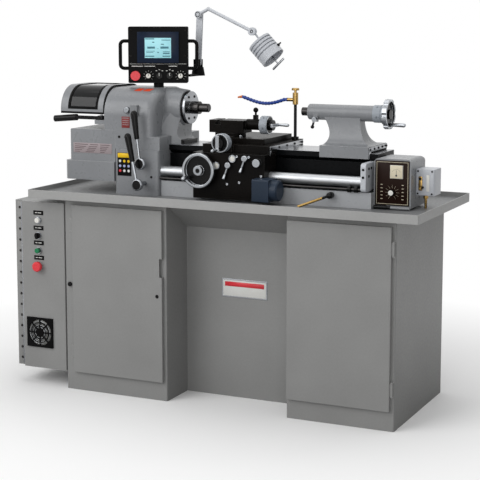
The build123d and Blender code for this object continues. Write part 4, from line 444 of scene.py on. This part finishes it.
# socket-head screw with its recess
def addScrew(place, axis, head, depth):
    addTurned([(0, 0), (head, 0), (head, depth - 0.7), (head - 0.7, depth), (head * 0.55, depth),
               (head * 0.55, depth * 0.4), (0, depth * 0.4)], place, axis, 20)


def addRing(outer, inner, depth, place, axis, steps):
    soft = min(depth, outer - inner) * 0.25
    addTurned([(inner, 0), (outer, 0), (outer, depth - soft), (outer - soft, depth),
               (inner + soft, depth), (inner, depth - soft), (inner, 0)], place, axis, steps)


# row of dots from a centre outwards, as a printed ray of a scale
def addRay(centre, degrees, reaches, radius, face, axis):
    for reach in reaches:
        across, along = reach * cos(radians(degrees)), reach * sin(radians(degrees))
        if axis == toFront:
            place = (centre[0] + across, face, centre[1] + along)
        else:
            place = (centre[0] + across, centre[1] + along, face)
        addDisc(radius, 0.4, place, axis, 8)


# a number as a flat mesh, set by a matrix
def addNumber(text, size, matrix):
    curve = bpy.data.curves.new("number", "FONT")
    curve.body = text
    curve.size = size * mm
    curve.align_x, curve.align_y = "CENTER", "CENTER"
    curve.extrude = 0.1 * mm
    maker = bpy.data.objects.new("number", curve)
    scene.collection.objects.link(maker)
    bpy.context.view_layer.update()
    mesh = bpy.data.meshes.new_from_object(maker)
    mesh.transform(matrix)
    bm.from_mesh(mesh)
    bpy.data.objects.remove(maker)
    bpy.data.meshes.remove(mesh)
    bpy.data.curves.remove(curve)


def finishPiece(name, finish, body, matrix=None):
    bmesh.ops.remove_doubles(bm, verts=bm.verts, dist=1e-6)
    bmesh.ops.recalc_face_normals(bm, faces=bm.faces)
    if matrix is not None:
        bmesh.ops.transform(bm, matrix=matrix, verts=bm.verts)
    for face in bm.faces:
        face.smooth = True
    mesh = bpy.data.meshes.new(name)
    bm.to_mesh(mesh)
    bm.clear()
    mesh.set_sharp_from_angle(angle=radians(32))
    piece = bpy.data.objects.new(name, mesh)
    scene.collection.objects.link(piece)
    mesh.materials.append(finishOf(finish))
    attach(piece, body)


# electrical door: legend plates with their dashes
door = {"x": -733.7, "face": -265.3, "plates": (701, 640, 580, 520), "half": (23, 8.5), "thick": 1.6,
        "dashes": ((-15, -5), (-2, 14)), "dashHalf": 1.6}
for z in door["plates"]:
    addPlate((door["x"] - door["half"][0], door["x"] + door["half"][0]),
             (z - door["half"][1], z + door["half"][1]), door["face"], door["thick"], 0.6)
finishPiece("legendPlates", "laminate", "electrical_door")
for z in door["plates"]:
    for left, right in door["dashes"]:
        addPlate((door["x"] + left, door["x"] + right), (z - door["dashHalf"], z + door["dashHalf"]),
                 door["face"] - 1.5, ink, 0.1)
finishPiece("legendDashes", "whitePrint", "electrical_door")

# pad and wire rings of the fan
fan = {"pad": 52, "padThick": 1.2, "rings": (22, 30, 38, 46), "wire": 0.9, "stand": 4.2}
fanX, fanZ = (sum(corner[axis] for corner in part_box("fan_grille")) / 2 / mm for axis in (0, 2))
addDisc(fan["pad"], fan["padThick"], (fanX, door["face"], fanZ), toFront, 48)
finishPiece("fanFilter", "filterPad", "electrical_door")
for radius in fan["rings"]:
    addRing(radius + fan["wire"], radius - fan["wire"], 2 * fan["wire"],
            (fanX, door["face"] - fan["stand"], fanZ), toFront, 48)
finishPiece("fanRings", "satinChrome", "electrical_door")

# leaf of the piano hinge on the box, with a screw beside each knuckle
hinge = {"x": (-848, -824), "face": -247.0, "thick": 1.2, "low": 77.5, "pitch": 44, "knuckles": 15,
         "screwX": -833, "head": 5.5, "depth": 1.4}
addPlate(hinge["x"], (hinge["low"], hinge["low"] + hinge["pitch"] * hinge["knuckles"]), hinge["face"],
         hinge["thick"], 0.4)
finishPiece("hingeLeaf", "sheetEnamel", "base")
for count in range(hinge["knuckles"]):
    z = hinge["low"] + hinge["pitch"] * (count + 0.5)
    addScrew((hinge["screwX"], hinge["face"] - 1.1, z), toFront, hinge["head"], hinge["depth"])
finishPiece("hingeScrews", "hardSteel", "base")
print("electrical door dressed")

# left door lock and the latch knob beside the door, as turned profiles
lock = {"place": (-194, -279.3, 413),
        "profile": [(0, 0), (7, 0), (7, 1.2), (6, 2), (2.4, 2), (2.4, 0.6), (0, 0.6)]}
latch = {"place": (-590, -263, 426),
         "profile": [(0, 0), (4, 0), (4, 3), (9, 4), (9, 8), (7, 10), (0, 10.5)]}
for name, turned, body in (("doorLock", lock, "left_door"), ("latchKnob", latch, "base")):
    addTurned(turned["profile"], turned["place"], toFront, 28)
    finishPiece(name, "phenolic", body)

# plain badge: pale field in its silver frame, red band
badge = {"x": (-7, 185), "z": (396, 468), "face": -94.0, "frame": 5, "bandInset": 8, "band": (24, 6)}
field = {axis: (badge[axis][0] + badge["frame"], badge[axis][1] - badge["frame"]) for axis in "xz"}
addPlate(field["x"], field["z"], badge["face"], 0.8, 0.3)
finishPiece("badgeField", "whitePrint", "base")
addPlate((field["x"][0] + badge["bandInset"], field["x"][1] - badge["bandInset"]),
         (field["z"][1] - badge["band"][0], field["z"][1] - badge["band"][1]), badge["face"] - 0.7, ink, 0.2)
finishPiece("badgeBand", "signalRed", "base")
print("stand dressed")

# lever chart: black field, yellow header, plain dots by column and row
chart = {"x": (-431, -369), "z": (854, 945), "face": -158.0, "header": (926, 943.5), "inset": 1.5,
         "firstDot": (-419, 912), "pitch": 19, "dot": 5.5,
         "dots": {"whitePrint": ((0, 0), (1, 2), (2, 2)), "safetyYellow": ((1, 0), (2, 0)),
                  "labelBlue": ((0, 1), (1, 1), (2, 1)), "signalRed": ((0, 2),)}}
addPlate(chart["x"], chart["z"], chart["face"], 1.0, 0.4)
finishPiece("leverChart", "laminate", "base")
addPlate((chart["x"][0] + chart["inset"], chart["x"][1] - chart["inset"]), chart["header"],
         chart["face"] - 0.9, 0.6, 0.2)
finishPiece("chartHeader", "safetyYellow", "base")
for finish, places in chart["dots"].items():
    for column, row in places:
        x, z = chart["firstDot"][0] + chart["pitch"] * column, chart["firstDot"][1] - chart["pitch"] * row
        addDisc(chart["dot"], ink, (x, chart["face"] - 1.0, z), toFront)
    finishPiece("chartDots_" + finish, finish, "base")

# labels on the castings: field and plain lines
labelFace = -150.0
redLabel = {"x": (-415, -379), "z": (1042, 1086), "lines": (1080, 1070, 1062, 1054), "half": 1.4,
            "lineX": (-411, -383)}
# each column: where it starts and how far each row steps back, its length and what each row loses
paleLabel = {"x": (-637, -461), "z": (936, 976), "lines": (970, 962, 955, 948, 941), "half": 1.3,
             "columns": ((-630, 0, 60, 9), (-560, 5, 38, 0), (-514, 0, 44, 6))}
for name, label, finish in (("redPlate", redLabel, "labelRed"), ("coverPlate", paleLabel, "labelPale")):
    addPlate(label["x"], label["z"], labelFace, 1.0, 0.4)
    finishPiece(name, finish, "base")
for row, z in enumerate(paleLabel["lines"]):
    for start, back, length, less in paleLabel["columns"]:
        x = start - back * row
        addPlate((x, x + length - less * row), (z - paleLabel["half"], z + paleLabel["half"]),
                 labelFace - 0.9, ink)
finishPiece("coverLines", "labelInk", "base")
for z in redLabel["lines"]:
    addPlate(redLabel["lineX"], (z - redLabel["half"], z + redLabel["half"]), labelFace - 0.9, ink)
finishPiece("redPlateLines", "labelPale", "base")

# oil plugs: socket plug in the base, domed one in the upper casting
plugs = {"socket": {"place": (-281, -158, 855),
                    "profile": [(0, 0), (5, 0), (5, 0.8), (4, 1.4), (2.2, 1.4), (2.2, 0.5), (0, 0.5)]},
         "domed": {"place": (-427, -150, 1006), "profile": [(0, 0), (5, 0), (5, 2), (4, 3), (0, 3)]}}
for plug in plugs.values():
    addTurned(plug["profile"], plug["place"], toFront)
finishPiece("oilPlugs", "phenolic", "base")

# two plain stripes laid on the curved shoulder of the hump: each point is dropped on the casting
stripes = {"starts": (-392, -352), "length": 30, "slant": 9.6, "front": -150, "depth": 30, "above": 1260}
shoulder = BVHTree.FromObject(nodes["headstock"], bpy.context.evaluated_depsgraph_get())
down = Vector((0, 0.6, -0.8))
for start in stripes["starts"]:
    for vert in bmesh.ops.create_grid(bm, x_segments=8, y_segments=6, size=0.5)["verts"]:
        along, across = vert.co.x + 0.5, vert.co.y + 0.5
        over = Vector((start + stripes["length"] * along + stripes["slant"] * across,
                       stripes["front"] + stripes["depth"] * across, stripes["above"]))
        hit, normal, _, _ = shoulder.ray_cast(over * mm, down)
        vert.co = hit + normal * ink * mm
finishPiece("topStripes", "decalOrange", "base")
print("headstock dressed")

# bolts on the spindle flange
flange = {"x": -194, "centre": (20, 1117), "circle": 48, "bolts": 6, "head": 5.0, "depth": 2.5}
for count in range(flange["bolts"]):
    spoke = 2 * pi * count / flange["bolts"]
    y = flange["centre"][0] + flange["circle"] * cos(spoke)
    z = flange["centre"][1] + flange["circle"] * sin(spoke)
    addScrew((flange["x"], y, z), toRight, flange["head"], flange["depth"])
finishPiece("flangeScrews", "phenolic", "spindle")

# control panel, built flat and then turned with the case: x across, y up, z out of its face
panel = {"centre": (-341, 20, 1322.3), "turn": 24.5, "face": 31.0, "bezel": 35.0, "bezelLow": (-82, -31),
         "bezelHigh": (82, 91), "row": -82, "print": 0.4, "rule": (-112, 112, -36.2, -35),
         "words": ((-105, -60), (-54, -12), (42, 76)), "wordRow": (-46, -43),
         "knobs": {"left_panel_knob": -38, "right_panel_knob": 89}, "rays": 9, "firstRay": 225,
         "rayStep": 33.75, "reaches": (16, 18, 20), "dot": 0.9, "capLift": 15.3,
         "knobLine": {"half": 0.9, "y": (-82, -73.5), "lift": (16.9, 17.4)},
         "switches": {"left_panel_switch": 5, "right_panel_switch": 46},
         "switchMarks": ((-12, -64), (0, -60), (12, -64)), "markSize": 3,
         "switchLine": {"half": 1.4, "y": (-83, -70.5), "lift": (16.3, 16.8)},
         "screws": ((-107, 107), (98, -4, -98))}
angle = radians(panel["turn"])
panelMatrix = Matrix.Translation(Vector(panel["centre"]) * mm) @ Matrix((
    (cos(angle), 0, sin(angle), 0), (sin(angle), 0, -cos(angle), 0), (0, 1, 0, 0), (0, 0, 0, 1)))
addBlock((*panel["bezelLow"], panel["bezel"]), (*panel["bezelHigh"], panel["bezel"] + 1.2), 0.5)
finishPiece("screenBezel", "bezelGloss", "control_panel", panelMatrix)
printed = [panel["rule"]]
for x in panel["switches"].values():
    printed += [(x + shift - panel["markSize"], x + shift + panel["markSize"], y, y + panel["markSize"])
                for shift, y in panel["switchMarks"]]
printed += [(*word, *panel["wordRow"]) for word in panel["words"]]
for x0, x1, y0, y1 in printed:
    addBlock((x0, y0, panel["face"]), (x1, y1, panel["face"] + panel["print"]))
for x in panel["knobs"].values():
    for count in range(panel["rays"]):
        addRay((x, panel["row"]), panel["firstRay"] - panel["rayStep"] * count, panel["reaches"],
               panel["dot"], panel["face"], upward)
finishPiece("panelPrint", "whitePrint", "control_panel", panelMatrix)
for x in panel["screws"][0]:
    for y in panel["screws"][1]:
        addScrew((x, y, panel["face"]), upward, 4.0, 2.2)
finishPiece("panelScrews", "oilBlack", "control_panel", panelMatrix)

# screen: a lit pane with plain marks
screen = {"low": (-52, -12), "high": (52, 67), "tones": ("#a6dde4", "#8bd0db"), "drift": 70, "glow": 0.15,
          "rough": 0.25,
          "marks": ((-50, 61, -14, 65), (14, 57, 48, 60), (-22, 48, -14, 52), (12, 40, 24, 44),
                    (-42, 25, -12, 33), (10, 25, 42, 33), (-46, 14, -12, 16), (-46, 9, -18, 11),
                    (20, 12, 46, 14), (20, 4, 46, 9), (-50, -7, -14, -3), (18, -7, 48, -3), (-2, 8, 3, 12),
                    (-1, 24, 2, 26))}
madeFinishes["litScreen"], screenTree = newMaterial("litScreen")
screenPlace = addNode(screenTree, "ShaderNodeTexCoord").outputs["Object"]
glow = addNode(screenTree, "ShaderNodeTexNoise", {
    "Vector": screenPlace, "Scale": 1 / (screen["drift"] * mm), "Detail": 1.0}).outputs[0]
paler, deeper = map(hexColour, screen["tones"])
tint = addNode(screenTree, "ShaderNodeMix", {"data_type": "RGBA", 0: glow, 6: paler, 7: deeper}).outputs[2]
setNode(screenTree, screenTree.nodes["Principled BSDF"], {
    "Base Color": tint, "Emission Color": tint, "Emission Strength": screen["glow"],
    "Roughness": screen["rough"]})
addBlock((*screen["low"], panel["bezel"] + 1.0), (*screen["high"], panel["bezel"] + 1.5), 0.2)
finishPiece("screenPane", "litScreen", "control_panel", panelMatrix)
for x0, y0, x1, y1 in screen["marks"]:
    addBlock((x0, y0, panel["bezel"] + 1.4), (x1, y1, panel["bezel"] + 1.7))
finishPiece("screenMarks", "screenInk", "control_panel", panelMatrix)

# ivory caps and pointer lines of the panel's knobs and switches
knobCap = [(0, 0), (9.5, 0), (9.5, 0.8), (8.5, 1.6), (0, 1.8)]


def addPointer(name, x, line, finish):
    (y0, y1), (z0, z1) = line["y"], line["lift"]
    addBlock((x - line["half"], y0, panel["face"] + z0), (x + line["half"], y1, panel["face"] + z1), 0.2)
    finishPiece(name + "Line", finish, name, panelMatrix)


for name, x in panel["knobs"].items():
    addTurned(knobCap, (x, panel["row"], panel["face"] + panel["capLift"]), upward, 28)
    finishPiece(name + "Cap", "ivoryPlastic", name, panelMatrix)
    addPointer(name, x, panel["knobLine"], "darkPrint")
for name, x in panel["switches"].items():
    addPointer(name, x, panel["switchLine"], "whitePrint")
print("panel dressed")

# apron sight glasses: chrome bezel over a pale disc
apronFace = -186
sights = {"leftSight": (16, 918), "rightSight": (83, 947)}
sight = {"ring": (14.5, 10.5, 8), "glassFace": -190.6,
         "glass": [(0, 0), (10.6, 0), (10.6, 1.0), (7, 2.6), (0, 3.2)]}
for name, (x, z) in sights.items():
    addRing(*sight["ring"], (x, apronFace, z), toFront, 36)
    finishPiece(name + "Bezel", "satinChrome", "carriage")
    addTurned(sight["glass"], (x, sight["glassFace"], z), toFront, 28)
    finishPiece(name + "Glass", "ivoryPlastic", "carriage")

# way wipers: felt behind a steel strip that turns down at the front, with screws
wipers = {
    "saddle": {"body": "carriage", "x": 212, "front": -140, "back": 180, "top": 993, "drop": 34},
    "tailstock": {"body": "tailstock", "x": 582, "front": -78, "back": 118, "top": 1000, "drop": 42},
}
layers = {
    "Felt": {"x": (0, 2.5), "height": 22, "lap": 1.0, "bevel": 0.5, "look": ("rubber", "black_rubber")},
    "Strip": {"x": (2.4, 4.0), "height": 17, "lap": 0.5, "bevel": 0.4,
              "look": ("groundSteel", "ground_steel")},
}
wiperScrew = {"x": 3.9, "inset": 8.5, "count": 5, "up": 8, "head": 4.4, "depth": 3.0}
for name, wiper in wipers.items():
    front, back, top, foot = wiper["front"], wiper["back"], wiper["top"], wiper["top"] - wiper["drop"]
    for layer, sheet in layers.items():
        near, far = (wiper["x"] + x for x in sheet["x"])
        bend = top - sheet["height"]
        addBlock((near, front, bend), (far, back, top), sheet["bevel"])
        addBlock((near, front, foot), (far, front + sheet["height"], bend + sheet["lap"]), sheet["bevel"])
        finish, slot = sheet["look"]
        finishPiece(name + "Wiper" + layer, finish, wiper["body"])
    x, first = wiper["x"] + wiperScrew["x"], front + wiperScrew["inset"]
    span = back - front - 2 * wiperScrew["inset"]
    spots = [(first + span * step / (wiperScrew["count"] - 1), top - wiperScrew["inset"])
             for step in range(wiperScrew["count"])]
    for y, z in spots + [(first, foot + wiperScrew["up"])]:
        addScrew((x, y, z), toRight, wiperScrew["head"], wiperScrew["depth"])
    finishPiece(name + "WiperScrews", "phenolic", wiper["body"])
print("wipers and sights in place")

# bright screw heads on the apron and round the compound's swivel, black ones on the rod bracket
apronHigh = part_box("apron")[1] / mm
apronScrews = ((100, apronHigh.z - 10), (150, apronHigh.z - 10), (apronHigh.x - 12, 886), (110, 858),
               (60, 850))
for x, z in apronScrews:
    addScrew((x, apronFace, z), toFront, 5.0, 3.5)
finishPiece("apronScrews", "satinChrome", "carriage")
swivelBolts = {"degrees": (-75, -30, 105, 150), "out": 9, "z": 1016.3,
               "head": [(0, 0), (7, 0), (7, 6), (6, 7), (0, 7)]}
swivelLow, swivelHigh = (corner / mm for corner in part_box("compound_swivel"))
swivelMid = (swivelLow + swivelHigh) / 2
reach = (swivelHigh.x - swivelLow.x) / 2 + swivelBolts["out"]
for spoke in map(radians, swivelBolts["degrees"]):
    x, y = swivelMid.x + reach * cos(spoke), swivelMid.y + reach * sin(spoke)
    addTurned(swivelBolts["head"], (x, y, swivelBolts["z"]), upward, 6)
finishPiece("swivelBolts", "satinChrome", "cross_slide")
bracket = {"end": 604, "endScrews": ((-136, 930), (-110, 930), (-136, 902)), "front": -166, "frontX": 594,
           "frontScrews": (928, 900)}
for y, z in bracket["endScrews"]:
    addScrew((bracket["end"], y, z), toRight, 5.0, 3.0)
for z in bracket["frontScrews"]:
    addScrew((bracket["frontX"], bracket["front"], z), toFront, 4.5, 3.0)
finishPiece("bracketScrews", "phenolic", "base")

# dial graduations: ticks round the rim and plain numbers
dials = {"crossDial": ("cross_crank", (34, -196.3, 1004), toFront, 35.0),
         "compoundDial": ("compound_crank", (160.3, -20, 1062.9), toRight, 35.0),
         "tailDial": ("tailstock_wheel", (602, 20, 1117), toRight, 33.0)}
ticks = {"count": 50, "long": 9, "middle": 6, "short": 4, "half": 0.5, "numbers": 9, "numberRow": -16}
for name, (body, place, axis, radius) in dials.items():
    seat = (Matrix.Translation(Vector(place) * mm)
            @ Vector(upward).rotation_difference(Vector(axis)).to_matrix().to_4x4())
    for count in range(ticks["count"]):
        size = ticks["long"] if count % 10 == 0 else ticks["middle"] if count % 5 == 0 else ticks["short"]
        before = set(bm.verts)
        addBlock((radius - 0.3, -ticks["half"], -size), (radius + 0.15, ticks["half"], 0))
        made = [vert for vert in bm.verts if vert not in before]
        turn = Matrix.Rotation(2 * pi * count / ticks["count"], 4, "Z")
        bmesh.ops.transform(bm, matrix=seat @ turn, verts=made)
    for count in range(0, ticks["count"], 10):
        turn = Matrix.Rotation(2 * pi * count / ticks["count"], 4, "Z")
        spot = (seat @ turn @ Matrix.Translation(Vector((radius + 0.05, 0, ticks["numberRow"])) * mm)
                @ Matrix.Rotation(pi / 2, 4, "Y") @ Matrix.Rotation(pi / 2, 4, "Z"))
        addNumber(str(count), ticks["numbers"], spot)
    finishPiece(name + "Marks", "darkPrint", body)
print("dials marked")

# feed box: brown plate with its cream line, scale of the knob and two columns of dashes
rate = {"x": (622, 752), "z": (797, 961), "face": -113.0, "inset": 5, "line": 1.6, "knob": (687, 845),
        "rays": 11, "firstRay": 240, "rayStep": 30, "reaches": (17, 20, 23, 26), "dot": 0.8, "dashes": 5,
        "dashOut": 40, "dashLow": -24, "dashPitch": 13, "dashHalf": (4, 1.2)}
addPlate(rate["x"], rate["z"], rate["face"], 1.2, 0.5)
finishPiece("ratePlate", "brownAnodised", "base")
(left, right), (low, high) = ((rate[axis][0] + rate["inset"], rate[axis][1] - rate["inset"]) for axis in "xz")
inner = (low + rate["line"], high - rate["line"])
for x, z in (((left, right), (low, inner[0])), ((left, right), (inner[1], high)),
             ((left, left + rate["line"]), inner), ((right - rate["line"], right), inner)):
    addPlate(x, z, rate["face"] - 1.1, ink)
for count in range(rate["rays"]):
    addRay(rate["knob"], rate["firstRay"] - rate["rayStep"] * count, rate["reaches"], rate["dot"],
           rate["face"] - 1.2, toFront)
halfX, halfZ = rate["dashHalf"]
for side in (-1, 1):
    for step in range(rate["dashes"]):
        x = rate["knob"][0] + side * rate["dashOut"]
        z = rate["knob"][1] + rate["dashLow"] + rate["dashPitch"] * step
        addPlate((x - halfX, x + halfX), (z - halfZ, z + halfZ), rate["face"] - 1.1, ink)
finishPiece("ratePrint", "creamPaint", "base")

# meter: cream face, dotted arc, needle on its hub
meter = {"x": (681, 727), "z": (898, 944), "face": -119.0, "print": -120.3, "centre": (704, 914), "arc": 17,
         "dots": 9, "firstDot": 150, "dotStep": 15, "dot": 0.9, "needle": (703.4, 704.6),
         "needleZ": (908, 928), "hub": [(0, 0), (3.5, 0), (3.5, 0.8), (0, 1.0)]}
addPlate(meter["x"], meter["z"], meter["face"], 1.4, 0.6)
finishPiece("meterFace", "creamPaint", "base")
for count in range(meter["dots"]):
    addRay(meter["centre"], meter["firstDot"] - meter["dotStep"] * count, (meter["arc"],), meter["dot"],
           meter["print"], toFront)
addPlate(meter["needle"], meter["needleZ"], meter["print"], 0.6, 0.2)
addTurned(meter["hub"], (meter["centre"][0], meter["print"], meter["needleZ"][0]), toFront, 20)
finishPiece("meterMarks", "darkPrint", "base")
addTurned(knobCap, (rate["knob"][0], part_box("feed_knob")[0].y / mm, rate["knob"][1]), toFront, 28)
finishPiece("feedKnobCap", "ivoryPlastic", "feed_knob")

# oil pipe that runs under the feed box, with its ferrule
pipe = {"y": -121, "z": 790, "x": 683, "radius": 5.5, "length": 74, "ferruleX": 622,
        "ferrule": [(0, 0), (7.5, 0), (7.5, 46), (6, 48), (6, 62), (0, 62)]}
addTurned(pipe["ferrule"], (pipe["ferruleX"], pipe["y"], pipe["z"]), toRight)
finishPiece("pipeFerrule", "phenolic", "base")
addDisc(pipe["radius"], pipe["length"], (pipe["x"], pipe["y"], pipe["z"]), toRight)
finishPiece("oilPipe", "castEnamel", "base")
print("feed box dressed")

# oil pump: face plate, screws, brass manifold, sight window
pump = {"x": (760, 824), "z": (834, 926), "face": -54.0, "screws": ((765, 818), (839, 921)),
        "cap": {"place": (775, 893), "lift": 3.9, "profile": [(0, 0), (5, 0), (5, 4), (4, 5), (0, 5)]},
        "button": {"place": (784, 862), "lift": 1.9,
                   "profile": [(0, 0), (4.5, 0), (4.5, 7), (3.5, 8), (0, 8)]},
        "manifold": ((768, 782), (850, 902)), "nut": (775, 858), "nutLift": 3.9,
        "nutProfile": [(0, 0), (5, 0), (5, 6), (4, 7), (0, 7)],
        "sight": ((797, 809), (848, 908))}
proud = pump["face"] - 1.9
addPlate(pump["x"], pump["z"], pump["face"], 2.0, 0.8)
finishPiece("pumpPlate", "paleAlloy", "base")
for x in pump["screws"][0]:
    for z in pump["screws"][1]:
        addScrew((x, proud, z), toFront, 3.4, 2.4)
for knob in (pump["cap"], pump["button"]):
    x, z = knob["place"]
    addTurned(knob["profile"], (x, pump["face"] - knob["lift"], z), toFront, 20)
finishPiece("pumpScrews", "phenolic", "base")
addPlate(*pump["manifold"], proud, 2.1, 1.8)
addTurned(pump["nutProfile"], (pump["nut"][0], pump["face"] - pump["nutLift"], pump["nut"][1]), toFront, 6)
finishPiece("pumpManifold", "brass", "base")
addPlate(*pump["sight"], proud, 1.5, 1.0)
finishPiece("pumpSight", "ivoryPlastic", "base")
print("pump dressed")

# work lamp: cover glass, aiming handle and side switch, along the beam and across it
beam, across = Vector((0.695, 0, -0.719)), Vector((0.719, 0, 0.695))
head = {"front": Vector((90.5, 173.7, 1309.3)), "glassBack": 21.8,
        "glass": [(0, 0), (45.5, 0), (45.5, 2), (30, 5), (0, 7)], "stem": (3.5, 44), "stemBack": 15,
        "barOut": 30, "bar": [(0, -32), (3.5, -32), (4.5, -30), (4.5, 30), (3.5, 32), (0, 32)],
        "switchBack": 24, "switchSide": 49.5, "switch": [(0, 0), (6, 0), (6, 6), (3, 7), (3, 16), (0, 17)]}
addTurned(head["glass"], head["front"] - beam * head["glassBack"], beam, 48)
finishPiece("lampGlass", "frostedGlass", "lamp_head")
addDisc(*head["stem"], head["front"] - beam * head["stemBack"], beam, 20)
addTurned(head["bar"], head["front"] + beam * head["barOut"], across, 20)
finishPiece("aimingHandle", "groundSteel", "lamp_head")
switchPlace = head["front"] - beam * head["switchBack"] + across * head["switchSide"]
addTurned(head["switch"], switchPlace, across, 20)
finishPiece("lampSwitch", "phenolic", "lamp_head")
print("lamp dressed")


# rays from the camera, and all that see the white background: also through glass and off gloss
def seenRays(tree):
    rays = addNode(tree, "ShaderNodeLightPath")
    clear = addNode(tree, "ShaderNodeMath", {
        "operation": "MAXIMUM", 0: rays.outputs["Is Camera Ray"],
        1: rays.outputs["Is Transmission Ray"]}).outputs[0]
    seen = addNode(tree, "ShaderNodeMath", {
        "operation": "MAXIMUM", 0: clear, 1: rays.outputs["Is Glossy Ray"]}).outputs[0]
    return rays.outputs["Is Camera Ray"], seen


# white ground, shadow kept near the feet, open white further out
ground = {"half": 14.0, "near": 0.8, "far": 2.0, "lit": "#b4b4b4", "shown": "#fdfdfd"}
bmesh.ops.create_circle(bm, cap_ends=True, radius=ground["half"], segments=96)
groundMesh = bpy.data.meshes.new("studioFloor")
bm.to_mesh(groundMesh)
bm.free()
floor = bpy.data.objects.new("studioFloor", groundMesh)
scene.collection.objects.link(floor)
floor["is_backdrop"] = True
floorMaterial, floorTree = newMaterial("studioFloor")
floorTree.nodes.remove(floorTree.nodes["Principled BSDF"])
fromCamera, seen = seenRays(floorTree)
floorPlace = addNode(floorTree, "ShaderNodeTexCoord").outputs["Object"]
away = addNode(floorTree, "ShaderNodeVectorMath", {"operation": "LENGTH", 0: floorPlace}).outputs["Value"]
fade = addNode(floorTree, "ShaderNodeMapRange", {
    "Value": away, "From Min": ground["near"], "From Max": ground["far"]}).outputs[0]
share = addNode(floorTree, "ShaderNodeMath", {"operation": "MULTIPLY", 0: fade, 1: seen}).outputs[0]
tone = addNode(floorTree, "ShaderNodeMix", {
    "data_type": "RGBA", 0: fromCamera, 6: hexColour(ground["lit"]),
    7: hexColour(ground["shown"])}).outputs[2]
matt = addNode(floorTree, "ShaderNodeBsdfDiffuse", {"Color": tone}).outputs[0]
bright = addNode(floorTree, "ShaderNodeEmission", {"Strength": 1.0}).outputs[0]
blend = addNode(floorTree, "ShaderNodeMixShader", {0: share, 1: matt, 2: bright}).outputs[0]
floorTree.links.new(blend, floorTree.nodes["Material Output"].inputs["Surface"])
groundMesh.materials.append(floorMaterial)

# white world where it is seen, a low even light where it isn't
ambient = 0.31
world = bpy.data.worlds.new("studioWorld")
world.use_nodes = True
scene.world = world
worldTree = world.node_tree
sky = worldTree.nodes["Background"]
seen = seenRays(worldTree)[1]
strength = addNode(worldTree, "ShaderNodeMath", {"operation": "MAXIMUM", 0: seen, 1: ambient}).outputs[0]
setNode(worldTree, sky, {"Color": (1, 1, 1, 1), "Strength": strength})

# soft boxes: key from the front left, fill from the right, broad one over the top
aimPoint = Vector((0, 0, 0.9))
softBoxes = {
    "keyBox": {"place": (-2.6, -4.2, 3.4), "size": 4.2, "watts": 168},
    "fillBox": {"place": (1.8, -4.8, 1.7), "size": 3.0, "watts": 60},
    "topBox": {"place": (0.4, 0.6, 4.2), "size": 4.6, "watts": 78},
}
for name, box in softBoxes.items():
    lamp = bpy.data.lights.new(name, "AREA")
    lamp.shape = "SQUARE"
    lamp.size = box["size"]
    lamp.energy = box["watts"]
    holder = bpy.data.objects.new(name, lamp)
    holder.location = box["place"]
    holder.rotation_euler = (aimPoint - Vector(box["place"])).to_track_quat("-Z", "Y").to_euler()
    scene.collection.objects.link(holder)
print("stage lit")

low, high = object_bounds()
